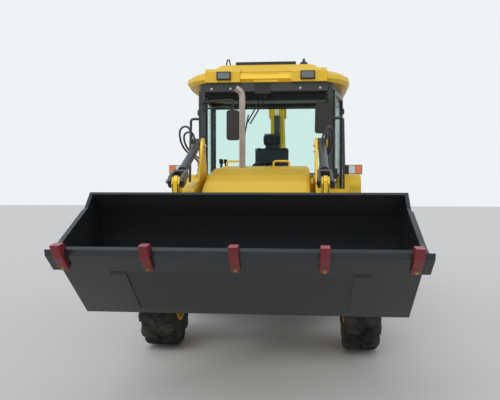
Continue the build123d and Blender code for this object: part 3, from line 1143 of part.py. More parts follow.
PIECES = [main_frame, tie_down_lugs, front_axle, knuckle_left, knuckle_right, rear_axle, *wheel_parts,
          powertrain, nose, hood, exhaust_stack, loader_arms, tilt_hoses, loader_bucket, bucket_teeth,
          bell_cranks, bucket_links, lift_barrels, lift_rods, tilt_barrels, tilt_rods, tilt_forks, cab_floor,
          cab_frame, cab_roof, cab_glass, door_left, door_right, door_glass_left, door_glass_right, fenders,
          cab_controls, seat_cushion, side_tanks, lamps, mirrors, handrails, rear_frame, stabilizer_left,
          stabilizer_right, swing_post, boom, dipper, hoe_bucket, hoe_rocker, hoe_link, *hoe_cylinders]

os.makedirs("parts", exist_ok=True)
for piece in PIECES:
    export_step(piece.part, "parts/" + piece.part.label + ".step")
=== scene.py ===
"""Looks of a backhoe loader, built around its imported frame. Metres, +Z up, the machine faces -Y."""

import logging
import math
from dataclasses import dataclass, replace
from enum import Enum
from typing import Sequence

import bmesh
import bpy
from mathutils import Matrix, Vector


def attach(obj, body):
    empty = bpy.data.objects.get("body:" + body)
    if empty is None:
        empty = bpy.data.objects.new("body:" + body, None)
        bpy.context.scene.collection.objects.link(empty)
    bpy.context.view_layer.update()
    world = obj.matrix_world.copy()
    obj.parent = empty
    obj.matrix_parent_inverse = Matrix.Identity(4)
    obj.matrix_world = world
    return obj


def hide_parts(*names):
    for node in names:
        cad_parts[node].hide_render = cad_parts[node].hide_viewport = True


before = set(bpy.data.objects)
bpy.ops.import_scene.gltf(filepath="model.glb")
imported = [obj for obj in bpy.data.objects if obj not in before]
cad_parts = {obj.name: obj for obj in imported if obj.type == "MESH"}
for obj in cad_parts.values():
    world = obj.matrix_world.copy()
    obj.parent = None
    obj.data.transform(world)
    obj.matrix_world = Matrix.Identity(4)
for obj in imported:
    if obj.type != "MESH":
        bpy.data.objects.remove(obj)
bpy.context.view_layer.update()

logging.basicConfig(level=logging.INFO, format="%(message)s")
LOG = logging.getLogger("loader")

AXLE_Y = -1.28
MM_PER_M = 1000.0
SMOOTH_ANGLE = math.radians(38.0)
BEVEL_ANGLE = math.radians(40.0)
FLAT_ANGLE = math.radians(0.5)
NODE_BEVEL = 0.0025
WELD_REACH = 0.0001
Colour = tuple[float, float, float]
Point = tuple[float, float, float]


def box_matrix(low: Point, high: Point) -> Matrix:
    """The transform that makes a unit cube the block between two corners."""
    a, b = Vector(low), Vector(high)
    size = Vector([abs(v) for v in b - a])
    return Matrix.Translation((a + b) / 2.0) @ Matrix.Diagonal((*size, 1.0))


def soften(made: bpy.types.Object, width: float, angle: float) -> None:
    """Rounds the object's hard edges."""
    edge = made.modifiers.new("soft_edges", "BEVEL")
    edge.width, edge.segments = width, 2
    edge.limit_method, edge.angle_limit = "ANGLE", angle


class Weather(Enum):
    """How a surface has met the yard: its dust and its wear."""

    CLEAN = (0.0, 0.0)
    DUSTY = (0.07, 0.03)
    WORKED = (0.12, 0.12)
    ROAD = (0.22, 0.06)


@dataclass(frozen=True)
class Finish:
    """One finish: a base colour broken up by noise, dust low down, worn spots, a fine grain, and painted
    light: a lighter upper colour on what faces up or on the inside of a hollow.

    The colour is linear. Grain is the bump's scale per metre and its depth in metres.
    """

    name: str
    colour: Colour
    shade: Colour
    rough: float
    rough_span: float = 0.1
    metallic: float = 0.0
    coat: float = 0.0
    grain: float = 300.0
    depth: float = 0.0002
    patches: float = 2.5
    weather: Weather = Weather.CLEAN
    dust: Colour = (0.36, 0.32, 0.27)
    worn: Colour = (0.2, 0.19, 0.18)
    sheen: float = 0.0
    specular: float = 0.5
    # upper is a lighter colour that paints light: on what faces up, or, given a hollow point, on the inside
    # of that hollow
    upper: Colour | None = None
    hollow: Point | None = None

    COAT_ROUGH = 0.08
    ROUGH_FINER = 5.0
    ROUGH_DETAIL = 6.0
    GRAIN_DETAIL = 2.0
    # Scale per metre and detail of a noise
    WEAR_NOISE = (38.0, 8.0)
    DUST_NOISE = (7.0, 8.0)
    # From where to where a value counts
    TONE_SPAN = (0.35, 0.65)
    ROUGH_SPAN = (0.3, 0.7)
    WEAR_SPAN = (0.62, 0.7)
    DUST_SPAN = (0.4, 0.75)
    # These two spans bring in the painted light of the upper colour: on faces turned up, and inside a hollow
    PAINTED_TOP_LIGHT_SPAN = (0.05, 0.7)
    PAINTED_HOLLOW_LIGHT_SPAN = (-0.06, 0.0)
    # Dust is full below the first height in metres, and this share of it is left above the second
    DUST_HEIGHT = (0.2, 1.5)
    DUST_ABOVE = 0.15

    def build(self) -> bpy.types.Material:
        """Makes the node material, once.

        Returns:
            The material of this name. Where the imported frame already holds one, it is that one, unchanged.
        """
        known = bpy.data.materials.get(self.name)
        if known:
            return known
        made = bpy.data.materials.new(self.name)
        made.use_nodes = True
        made.diffuse_color = (*self.colour, 1.0)
        nodes, links = made.node_tree.nodes, made.node_tree.links
        shader = nodes["Principled BSDF"]
        shader.inputs["Metallic"].default_value = self.metallic
        shader.inputs["Coat Weight"].default_value = self.coat
        shader.inputs["Coat Roughness"].default_value = self.COAT_ROUGH
        shader.inputs["Specular IOR Level"].default_value = self.specular
        shader.inputs["Sheen Weight"].default_value = self.sheen
        where = nodes.new("ShaderNodeTexCoord").outputs["Object"]

        def noise(scale: float, detail: float = 4.0) -> bpy.types.NodeSocket:
            """A noise on Object coordinates."""
            made_noise = nodes.new("ShaderNodeTexNoise")
            made_noise.inputs["Scale"].default_value = scale
            made_noise.inputs["Detail"].default_value = detail
            links.new(where, made_noise.inputs["Vector"])
            return made_noise.outputs["Fac"]

        def spread(source: bpy.types.NodeSocket, low: float, high: float, to_low: float,
                   to_high: float) -> bpy.types.NodeSocket:
            """The source, mapped from one span to another."""
            ramp = nodes.new("ShaderNodeMapRange")
            spans = (("From Min", low), ("From Max", high), ("To Min", to_low), ("To Max", to_high))
            for name, value in spans:
                ramp.inputs[name].default_value = value
            links.new(source, ramp.inputs["Value"])
            return ramp.outputs["Result"]

        def mix(share: bpy.types.NodeSocket, first: object, second: object) -> bpy.types.NodeSocket:
            """Two colours, mixed by a share."""
            blend = nodes.new("ShaderNodeMix")
            blend.data_type = "RGBA"
            links.new(share, blend.inputs["Factor"])
            for socket, value in ((blend.inputs[6], first), (blend.inputs[7], second)):
                if isinstance(value, tuple):
                    socket.default_value = (*value, 1.0)
                else:
                    links.new(value, socket)
            return blend.outputs[2]

        dust_share, wear_share = self.weather.value
        tone = mix(spread(noise(self.patches), *self.TONE_SPAN, 0.0, 1.0), self.colour, self.shade)
        # Painted light: the upper colour lightens the inside of a hollow, or else what faces up
        if self.upper and self.hollow:
            reach = nodes.new("ShaderNodeVectorMath")
            reach.operation = "SUBTRACT"
            reach.inputs[1].default_value = self.hollow
            links.new(where, reach.inputs[0])
            toward = nodes.new("ShaderNodeVectorMath")
            toward.operation = "DOT_PRODUCT"
            links.new(reach.outputs[0], toward.inputs[0])
            links.new(nodes.new("ShaderNodeTexCoord").outputs["Normal"], toward.inputs[1])
            tone = mix(spread(toward.outputs["Value"], *self.PAINTED_HOLLOW_LIGHT_SPAN, 0.0, 1.0), self.upper, tone)
        elif self.upper:
            facing = nodes.new("ShaderNodeSeparateXYZ")
            links.new(nodes.new("ShaderNodeNewGeometry").outputs["Normal"], facing.inputs["Vector"])
            tone = mix(spread(facing.outputs["Z"], *self.PAINTED_TOP_LIGHT_SPAN, 0.0, 1.0), tone, self.upper)
        rough = spread(noise(self.patches * self.ROUGH_FINER, self.ROUGH_DETAIL), *self.ROUGH_SPAN,
                       self.rough - self.rough_span / 2.0, self.rough + self.rough_span / 2.0)
        if wear_share > 0.0:
            tone = mix(spread(noise(*self.WEAR_NOISE), *self.WEAR_SPAN, 0.0, wear_share), tone, self.worn)
        if dust_share > 0.0:
            height = nodes.new("ShaderNodeSeparateXYZ")
            links.new(where, height.inputs["Vector"])
            low_down = spread(height.outputs["Z"], *self.DUST_HEIGHT, dust_share,
                              dust_share * self.DUST_ABOVE)
            cloud = spread(noise(*self.DUST_NOISE), *self.DUST_SPAN, 0.0, 1.0)
            both = nodes.new("ShaderNodeMath")
            both.operation = "MULTIPLY"
            links.new(low_down, both.inputs[0])
            links.new(cloud, both.inputs[1])
            tone = mix(both.outputs[0], tone, self.dust)
            added = nodes.new("ShaderNodeMath")
            added.operation = "ADD"
            added.use_clamp = True
            links.new(rough, added.inputs[0])
            links.new(both.outputs[0], added.inputs[1])
            rough = added.outputs[0]
        links.new(tone, shader.inputs["Base Color"])
        links.new(rough, shader.inputs["Roughness"])
        bump = nodes.new("ShaderNodeBump")
        bump.inputs["Distance"].default_value = self.depth
        bump.inputs["Strength"].default_value = 1.0
        links.new(noise(self.grain, self.GRAIN_DETAIL), bump.inputs["Height"])
        links.new(bump.outputs["Normal"], shader.inputs["Normal"])
        return made


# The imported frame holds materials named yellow_paint, black_paint, bucket_paint, chrome and black_plastic.
# Build returns those, so the values of these five finishes don't show. Under other names they would.
YELLOW = Finish("yellow_paint", (0.66, 0.29, 0.026), (0.58, 0.25, 0.02), 0.36, coat=0.3,
                weather=Weather.DUSTY)
BLACK_PAINT = Finish("black_paint", (0.010, 0.010, 0.012), (0.007, 0.007, 0.009), 0.3, coat=0.06,
                     weather=Weather.DUSTY, specular=0.12)
# Its upper colour is painted light: the inside of the bucket lighter blue-grey than its dark outside
BUCKET_PAINT = Finish("bucket_paint", (0.006, 0.0062, 0.0085), (0.0045, 0.0048, 0.0065), 0.46, 0.16,
                      patches=1.6, weather=Weather.CLEAN, specular=0.06, upper=(0.072, 0.09, 0.125),
                      hollow=(0.0, -2.98, 1.12))
# Its upper colour is a painted highlight: the teeth's top faces lighter red than the rest
TOOTH_RED = Finish("tooth_red", (0.20, 0.011, 0.020), (0.14, 0.008, 0.014), 0.4, depth=0.0005,
                   weather=Weather.WORKED, upper=(0.34, 0.05, 0.06))
TYRE_RUBBER = Finish("tyre_rubber", (0.010, 0.010, 0.0115), (0.017, 0.0168, 0.017), 0.7, 0.15, depth=0.0006,
                     weather=Weather.ROAD, specular=0.35)
STACK = Finish("satin_stack", (0.50, 0.44, 0.39), (0.34, 0.27, 0.22), 0.3, 0.12, metallic=1.0, depth=0.00003,
               patches=3.0)
CHROME = Finish("chrome", (0.72, 0.72, 0.74), (0.64, 0.64, 0.66), 0.16, 0.08, metallic=1.0, depth=0.00002)
IRON = Finish("cast_iron", (0.045, 0.045, 0.047), (0.03, 0.03, 0.032), 0.6, 0.2, metallic=0.4, depth=0.001,
              grain=160.0, weather=Weather.ROAD)
ZINC = Finish("zinc_bolts", (0.50, 0.47, 0.40), (0.42, 0.40, 0.36), 0.36, 0.14, metallic=1.0, depth=0.00005)
BRASS = Finish("tooth_bolts", (0.42, 0.30, 0.12), (0.34, 0.24, 0.10), 0.42, 0.14, metallic=1.0, depth=0.0001)
PLASTIC = Finish("black_plastic", (0.009, 0.009, 0.012), (0.013, 0.013, 0.017), 0.5, depth=0.0004,
                 grain=600.0, specular=0.12)
SEAL = Finish("rubber_seal", (0.008, 0.008, 0.008), (0.012, 0.012, 0.012), 0.7, depth=0.0003, grain=500.0)
HOSE_RUBBER = Finish("hose_rubber", (0.009, 0.009, 0.010), (0.014, 0.014, 0.015), 0.45, depth=0.0002,
                     grain=700.0)
LINING = Finish("cab_lining", (0.11, 0.13, 0.155), (0.085, 0.10, 0.12), 0.9, depth=0.0008, grain=800.0,
                sheen=0.2)
FABRIC = Finish("seat_cloth", (0.085, 0.095, 0.125), (0.06, 0.068, 0.09), 0.85, depth=0.0008, grain=900.0,
                sheen=0.3)
AMBER = Finish("amber_lens", (0.80, 0.22, 0.015), (0.72, 0.18, 0.012), 0.12, coat=0.8, depth=0.0004,
               grain=240.0)
CLEAR = Finish("clear_lens", (0.72, 0.74, 0.76), (0.6, 0.62, 0.64), 0.1, coat=1.0, depth=0.0005, grain=240.0)
GREY_LENS = Finish("work_lens", (0.16, 0.17, 0.18), (0.11, 0.12, 0.13), 0.12, coat=1.0, depth=0.0005,
                   grain=240.0)
RED_LENS = Finish("red_lens", (0.42, 0.012, 0.010), (0.34, 0.010, 0.008), 0.12, coat=0.9, depth=0.0004,
                  grain=240.0)


@dataclass(frozen=True)
class Glass:
    """Tinted safety glass."""

    name: str = "tinted_glass"
    tint: Colour = (0.72, 0.93, 0.86)
    rough: float = 0.02
    index: float = 1.02
    alpha: float = 0.55

    def build(self) -> bpy.types.Material:
        """Makes the glass material, once."""
        known = bpy.data.materials.get(self.name)
        if known:
            return known
        made = bpy.data.materials.new(self.name)
        made.use_nodes = True
        nodes, links = made.node_tree.nodes, made.node_tree.links
        shader = nodes["Principled BSDF"]
        shader.inputs["Base Color"].default_value = (*self.tint, 1.0)
        shader.inputs["Roughness"].default_value = self.rough
        shader.inputs["Transmission Weight"].default_value = 1.0
        shader.inputs["IOR"].default_value = self.index
        shader.inputs["Alpha"].default_value = self.alpha
        return made


GLASS = Glass()

NODE_FINISHES: tuple[tuple[Finish | Glass, tuple[str, ...]], ...] = (
    (YELLOW, ("main_frame", "nose", "hood", "loader_arms", "bell_cranks", "bucket_links", "cab_roof",
              "fenders", "rear_frame", "swing_post", "boom", "dipper", "hoe_rocker", "hoe_link",
              "rim_front_left", "rim_front_right", "rim_rear_left", "rim_rear_right")),
    (BLACK_PAINT, ("cab_frame", "cab_floor", "door_left", "door_right", "lift_barrels", "tilt_barrels",
                   "boom_barrel", "dipper_barrel", "bucket_barrel", "side_tanks", "stabilizer_left",
                   "stabilizer_right", "hoe_bucket", "handrails", "tilt_forks", "tie_down_lugs")),
    (BUCKET_PAINT, ("loader_bucket",)),
    (TOOTH_RED, ("bucket_teeth",)),
    (TYRE_RUBBER, ("tyre_front_left", "tyre_front_right", "tyre_rear_left", "tyre_rear_right")),
    (STACK, ("exhaust_stack",)),
    (CHROME, ("lift_rods", "tilt_rods", "boom_rod", "dipper_rod", "bucket_rod")),
    (IRON, ("front_axle", "rear_axle", "knuckle_left", "knuckle_right", "powertrain")),
    (PLASTIC, ("cab_controls", "lamps", "mirrors")),
    (HOSE_RUBBER, ("tilt_hoses",)),
    (FABRIC, ("seat_cushion",)),
    (GLASS, ("door_glass_left", "door_glass_right", "cab_glass")),
)
EDGED = ("main_frame", "nose", "loader_arms", "loader_bucket", "bucket_teeth", "bell_cranks",
         "bucket_links", "tilt_forks", "cab_roof", "cab_frame", "fenders", "rear_frame", "side_tanks",
         "door_left", "door_right", "swing_post", "boom", "dipper", "hoe_bucket", "hoe_rocker", "hoe_link",
         "lamps", "powertrain")


def dress_nodes() -> None:
    """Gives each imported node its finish, and takes the hard edge off the plated ones."""
    for finish, names in NODE_FINISHES:
        if isinstance(finish, Finish) and finish.hollow:
            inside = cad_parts[names[0]].matrix_world.inverted() @ Vector(finish.hollow)
            finish = replace(finish, hollow=tuple(inside))
        material = finish.build()
        for name in names:
            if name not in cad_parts:
                LOG.warning("no node named %s", name)
                continue
            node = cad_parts[name]
            node.data.materials.clear()
            node.data.materials.append(material)
    for name in EDGED:
        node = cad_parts[name]
        weld = node.modifiers.new("weld", "WELD")
        weld.merge_threshold = WELD_REACH
        flat = node.modifiers.new("flat_faces", "DECIMATE")
        flat.decimate_type = "DISSOLVE"
        flat.angle_limit = FLAT_ANGLE
        soften(node, NODE_BEVEL, BEVEL_ANGLE)


def place(x: float, ahead: float, height: float) -> Point:
    """A world point in metres from the drawing's X, distance ahead and height in millimetres."""
    return (x / MM_PER_M, AXLE_Y - ahead / MM_PER_M, height / MM_PER_M)


class Form:
    """One visual piece, gathered in world metres, that rides on a body."""

    def __init__(self, name: str, finish: Finish | Glass, body: str, bevel: float = 0.0) -> None:
        """Starts an empty piece.

        Args:
            name: The piece's name.
            finish: What its surface is.
            body: The body that it moves with.
            bevel: The width of its rounded edges, in metres.
        """
        self.name, self.finish, self.body, self.bevel = name, finish, body, bevel
        self.mesh = bmesh.new()

    def block(self, low: Point, high: Point) -> None:
        """Adds a block between two corners."""
        bmesh.ops.create_cube(self.mesh, size=1.0, matrix=box_matrix(low, high))

    def slab(self, low: Point, high: Point) -> None:
        """Adds a block between two corners given as place takes them."""
        self.block(place(*low), place(*high))

    def rod(self, start: Point, end: Point, radius: float, end_radius: float | None = None,
            sides: int = 24) -> None:
        """Adds a round bar or cone between two points."""
        a, b = Vector(start), Vector(end)
        turn = Matrix.Translation((a + b) / 2.0) @ (b - a).to_track_quat("Z", "Y").to_matrix().to_4x4()
        bmesh.ops.create_cone(self.mesh, cap_ends=True, segments=sides, radius1=radius,
                              radius2=radius if end_radius is None else end_radius, depth=(b - a).length,
                              matrix=turn)

    def path(self, points: Sequence[Point], radius: float, sides: int = 12) -> None:
        """Adds round bars from point to point, with a ball at each bend."""
        for start, end in zip(points, points[1:]):
            self.rod(start, end, radius, sides=sides)
        for corner in points[1:-1]:
            bmesh.ops.create_uvsphere(self.mesh, u_segments=sides, v_segments=8, radius=radius,
                                      matrix=Matrix.Translation(corner))

    def prism(self, outline: Sequence[Point], depth: Point) -> None:
        """Adds a flat outline, carried through a depth."""
        near = [self.mesh.verts.new(p) for p in outline]
        far = [self.mesh.verts.new(Vector(p) + Vector(depth)) for p in outline]
        self.mesh.faces.new(near)
        self.mesh.faces.new(list(reversed(far)))
        for i, _ in enumerate(near):
            j = (i + 1) % len(near)
            self.mesh.faces.new((near[j], near[i], far[i], far[j]))

    def skin(self, rings: Sequence[Sequence[Point]], closed: bool = False) -> None:
        """Joins rings of like points with quads, and caps the ends or joins the last ring to the first."""
        rows = [[self.mesh.verts.new(p) for p in ring] for ring in rings]
        pairs = list(zip(rows, rows[1:])) + ([(rows[-1], rows[0])] if closed else [])
        for first, second in pairs:
            for i, _ in enumerate(first):
                j = (i + 1) % len(first)
                self.mesh.faces.new((first[i], first[j], second[j], second[i]))
        if not closed:
            self.mesh.faces.new(list(reversed(rows[0])))
            self.mesh.faces.new(rows[-1])

    def done(self, *replaced: str) -> bpy.types.Object:
        """Closes the piece, gives it its surface and lets it ride.

        Args:
            replaced: The CAD nodes that it stands for.

        Returns:
            The finished object, at the origin.
        """
        bmesh.ops.recalc_face_normals(self.mesh, faces=self.mesh.faces[:])
        mesh = bpy.data.meshes.new(self.name)
        self.mesh.to_mesh(mesh)
        self.mesh.free()
        for face in mesh.polygons:
            face.use_smooth = True
        mesh.set_sharp_from_angle(angle=SMOOTH_ANGLE)
        made = bpy.data.objects.new(self.name, mesh)
        bpy.context.scene.collection.objects.link(made)
        made.data.materials.append(self.finish.build())
        if self.bevel > 0.0:
            soften(made, self.bevel, SMOOTH_ANGLE)
        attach(made, self.body)
        if replaced:
            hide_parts(*replaced)
        LOG.info("%s: %d faces on %s", self.name, len(mesh.polygons), self.body)
        return made


@dataclass(frozen=True)
class Bolts:
    """Like hexagon bolts on one body, set out by a Geometry Nodes tree.

    Each place is a point and the way that the bolt's head faces.
    """

    name: str
    body: str
    places: tuple[tuple[Point, Point], ...]
    size: float = 0.022
    finish: Finish = ZINC
    seed: int = 7

    def template(self) -> bpy.types.Object:
        """A washer with a hexagon head, one unit across."""
        mesh = bmesh.new()
        for radius, low, high, sides in ((0.62, -0.05, 0.12, 20), (0.5, 0.12, 0.5, 6)):
            middle = Matrix.Translation((0.0, 0.0, (low + high) / 2.0))
            bmesh.ops.create_cone(mesh, cap_ends=True, segments=sides, radius1=radius, radius2=radius * 0.94,
                                  depth=high - low, matrix=middle)
        data = bpy.data.meshes.new(self.name + "_one")
        mesh.to_mesh(data)
        mesh.free()
        one = bpy.data.objects.new(self.name + "_one", data)
        bpy.context.scene.collection.objects.link(one)
        return one

    def tree(self) -> bpy.types.NodeTree:
        """The node tree: a bolt on each point, turned to its face and a little about itself."""
        tree = bpy.data.node_groups.new(self.name, "GeometryNodeTree")
        sides = (("Points", "INPUT", "NodeSocketGeometry"), ("Bolt", "INPUT", "NodeSocketObject"),
                 ("Size", "INPUT", "NodeSocketFloat"), ("Seed", "INPUT", "NodeSocketInt"),
                 ("Finish", "INPUT", "NodeSocketMaterial"), ("Bolts", "OUTPUT", "NodeSocketGeometry"))
        for name, way, kind in sides:
            tree.interface.new_socket(name, in_out=way, socket_type=kind)
        start, end, info, put, face, way, turn, spin, join, solid, paint = (
            tree.nodes.new(kind) for kind in
            ("NodeGroupInput", "NodeGroupOutput", "GeometryNodeObjectInfo", "GeometryNodeInstanceOnPoints",
             "FunctionNodeAlignRotationToVector", "GeometryNodeInputNamedAttribute",
             "GeometryNodeRotateInstances", "FunctionNodeRandomValue", "ShaderNodeCombineXYZ",
             "GeometryNodeRealizeInstances", "GeometryNodeSetMaterial"))
        way.data_type = "FLOAT_VECTOR"
        way.inputs["Name"].default_value = "facing"
        face.axis = "Z"
        info.inputs["As Instance"].default_value = True
        spin.inputs["Max"].default_value = 1.0
        pairs = ((start.outputs["Points"], put.inputs["Points"]),
                 (start.outputs["Bolt"], info.inputs["Object"]),
                 (info.outputs["Geometry"], put.inputs["Instance"]),
                 (start.outputs["Size"], put.inputs["Scale"]),
                 (way.outputs["Attribute"], face.inputs["Vector"]),
                 (face.outputs[0], put.inputs["Rotation"]),
                 (start.outputs["Seed"], spin.inputs["Seed"]),
                 (put.outputs[0], turn.inputs["Instances"]),
                 (join.outputs[0], turn.inputs["Rotation"]),
                 (turn.outputs[0], solid.inputs["Geometry"]),
                 (solid.outputs[0], paint.inputs["Geometry"]),
                 (start.outputs["Finish"], paint.inputs["Material"]),
                 (paint.outputs[0], end.inputs["Bolts"]))
        for source, target in pairs:
            tree.links.new(source, target)
        value = next(o for o in spin.outputs if o.enabled)
        tree.links.new(value, join.inputs["Z"])
        return tree

    def build(self) -> bpy.types.Object:
        """Makes the bolts as one plain mesh."""
        holder_mesh = bpy.data.meshes.new(self.name + "_points")
        holder_mesh.from_pydata([point for point, _ in self.places], [], [])
        facing = holder_mesh.attributes.new("facing", "FLOAT_VECTOR", "POINT")
        for i, (_, way) in enumerate(self.places):
            facing.data[i].vector = way
        holder = bpy.data.objects.new(self.name + "_points", holder_mesh)
        bpy.context.scene.collection.objects.link(holder)
        one, tree = self.template(), self.tree()
        modifier = holder.modifiers.new("bolts", "NODES")
        modifier.node_group = tree
        given = {"Bolt": one, "Size": self.size, "Seed": self.seed, "Finish": self.finish.build()}
        for item in tree.interface.items_tree:
            if item.name in given and item.in_out == "INPUT":
                modifier[item.identifier] = given[item.name]
        graph = bpy.context.evaluated_depsgraph_get()
        mesh = bpy.data.meshes.new_from_object(holder.evaluated_get(graph))
        mesh.name = self.name
        for spare in (holder, one):
            bpy.data.objects.remove(spare)
        made = bpy.data.objects.new(self.name, mesh)
        bpy.context.scene.collection.objects.link(made)
        if not mesh.materials:
            mesh.materials.append(self.finish.build())
        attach(made, self.body)
        LOG.info("%s: %d bolts on %s", self.name, len(self.places), self.body)
        return made


@dataclass(frozen=True)
class Wheel:
    """One tyre with dog-leg lugs, and the bolts on its hub. Sizes are in millimetres."""

    name: str
    x: float
    ahead: float
    radius: float
    rim: float
    width: float
    lugs: int
    hub_x: float
    studs: int

    BEAD_GAP = 0.3
    WIDEST = 5
    LUG_H = 30.0
    LUG_SUNK = 6.0
    LUG_FLARE = 8.0
    STEPS = 96
    STUD_SHARE = 0.46
    STUD_OUT = 20.0
    STUD_SIZE = 0.03
    # Share of the half width, share of the rise from rim to carcass, with the widest place sixth
    SHAPE = ((0.80, 0.0), (0.84, 0.05), (0.88, 0.12), (0.93, 0.22), (0.975, 0.36), (0.992, 0.5),
             (0.985, 0.64), (0.96, 0.78), (0.90, 0.90), (0.80, 0.965), (0.6, 0.985), (0.3, 0.998), (0.0, 1.0))
    # A lug, from the middle out: share of the half width, lead round the tread, drop from the top, half width
    LUG = ((0.02, 58.0, 2.0, 27.0), (0.30, 22.0, 0.0, 29.0), (0.48, 0.0, 0.0, 31.0), (0.80, 0.0, 2.0, 33.0),
           (0.95, 0.0, 22.0, 35.0), (0.985, 0.0, 60.0, 34.0))

    def spot(self, across: float, radius: float, angle: float) -> Point:
        """A point by its distance across the wheel, from its axle and round it."""
        x, y, z = place(self.x + across, self.ahead, self.radius)
        return (x, y + radius / MM_PER_M * math.cos(angle), z + radius / MM_PER_M * math.sin(angle))

    def profile(self) -> list[tuple[float, float]]:
        """The carcass as shares of the half width and radii, from the bead to the middle."""
        inner = self.rim + self.BEAD_GAP
        rise = self.radius - self.LUG_H - inner
        return [(u, inner + r * rise) for u, r in self.SHAPE]

    def surface(self, share: float) -> float:
        """The carcass's radius at a share of the half width."""
        upper = self.profile()[self.WIDEST:]
        for (u0, r0), (u1, r1) in zip(upper, upper[1:]):
            if u1 <= share <= u0:
                return r1 + (r0 - r1) * (share - u1) / max(u0 - u1, 1e-6)
        return upper[0][1]

    def build(self) -> None:
        """Makes the tyre in place of its CAD node, and the hub's bolts."""
        half = self.width / 2.0
        side = [(u * half, r) for u, r in self.profile()]
        section = side + [(-u, r) for u, r in reversed(side[:-1])]
        tyre = Form("tread_" + self.name, TYRE_RUBBER, "wheel_" + self.name)
        turns = [2.0 * math.pi * i / self.STEPS for i in range(self.STEPS)]
        tyre.skin([[self.spot(u, r, angle) for u, r in section] for angle in turns], closed=True)
        top = self.radius - 1.0
        for row in (1, -1):
            turn = (math.pi / self.lugs if row > 0 else 0.0) - math.pi / 2.0
            for number in range(self.lugs):
                middle = number * 2.0 * math.pi / self.lugs + turn
                rings = []
                for share, lead, drop, wide in self.LUG:
                    low = self.surface(share) - self.LUG_SUNK
                    high = max(top - drop, low + self.LUG_FLARE)
                    angle, foot = middle + lead / self.radius, wide + self.LUG_FLARE
                    rings.append([self.spot(row * share * half, r, angle + w / self.radius)
                                  for r, w in ((low, -foot), (high, -wide), (high, wide), (low, foot))])
                tyre.skin(rings)
        tyre.done("tyre_" + self.name)
        way = 1.0 if self.x > 0 else -1.0
        places = []
        for i in range(self.studs):
            angle = 2.0 * math.pi * i / self.studs
            x, y, z = place(self.hub_x + way * self.STUD_OUT, self.ahead, self.radius)
            reach = self.rim * self.STUD_SHARE / MM_PER_M
            places.append(((x, y + reach * math.cos(angle), z + reach * math.sin(angle)), (way, 0.0, 0.0)))
        Bolts("studs_" + self.name, "wheel_" + self.name, tuple(places), self.STUD_SIZE).build()


# Name, X, ahead, radius, rim, width, lugs a row, hub X, studs
WHEELS = (Wheel("front_left", 930.0, 0.0, 485.0, 232.0, 330.0, 15, 788.3, 8),
          Wheel("front_right", -930.0, 0.0, 485.0, 232.0, 330.0, 15, -788.3, 8),
          Wheel("rear_left", 860.0, -2200.0, 700.0, 330.0, 450.0, 19, 690.3, 10),
          Wheel("rear_right", -860.0, -2200.0, 700.0, 330.0, 450.0, 19, -690.3, 10))


@dataclass(frozen=True)
class Hose:
    """One hydraulic hose, a smooth line through the drawing's route."""

    name: str
    start_x: float
    swing_x: float
    top: float
    radius: float = 9.0

    def route(self) -> list[Point]:
        """The drawing's points, from the tilt cylinder over the mast and down to the arm."""
        foot = self.start_x - math.copysign(15.0, self.start_x)
        points = ((self.start_x, 470, 1908), (self.start_x, 470, self.top), (self.swing_x, 320, self.top),
                  (self.swing_x, 150, 1880), (foot, 20, 1760), (foot, 20, 1603.8))
        return [place(*point) for point in points]

    def build(self) -> bpy.types.Object:
        points = self.route()
        curve = bpy.data.curves.new(self.name, "CURVE")
        curve.dimensions = "3D"
        curve.resolution_u = 24
        spline = curve.splines.new("NURBS")
        spline.points.add(len(points) - 1)
        for spot, point in zip(spline.points, points):
            spot.co = (*point, 1.0)
        spline.order_u = 3
        spline.use_endpoint_u = True
        bare = bpy.data.objects.new(self.name + "_line", curve)
        line = bpy.data.meshes.new_from_object(bare)
        bpy.data.objects.remove(bare)
        curve.bevel_depth = self.radius / MM_PER_M
        curve.bevel_resolution = 4
        curve.use_fill_caps = True
        curve.materials.append(HOSE_RUBBER.build())
        made = bpy.data.objects.new(self.name, curve)
        bpy.context.scene.collection.objects.link(made)
        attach(made, "loader_arms")
        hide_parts("tilt_hoses")
        return made


HOSES = (Hose("hose_right_outer", -585.0, -740.0, 2070.0), Hose("hose_right_inner", -560.0, -700.0, 2020.0),
         Hose("hose_left_outer", 585.0, 660.0, 2060.0), Hose("hose_left_inner", 560.0, 635.0, 2010.0))


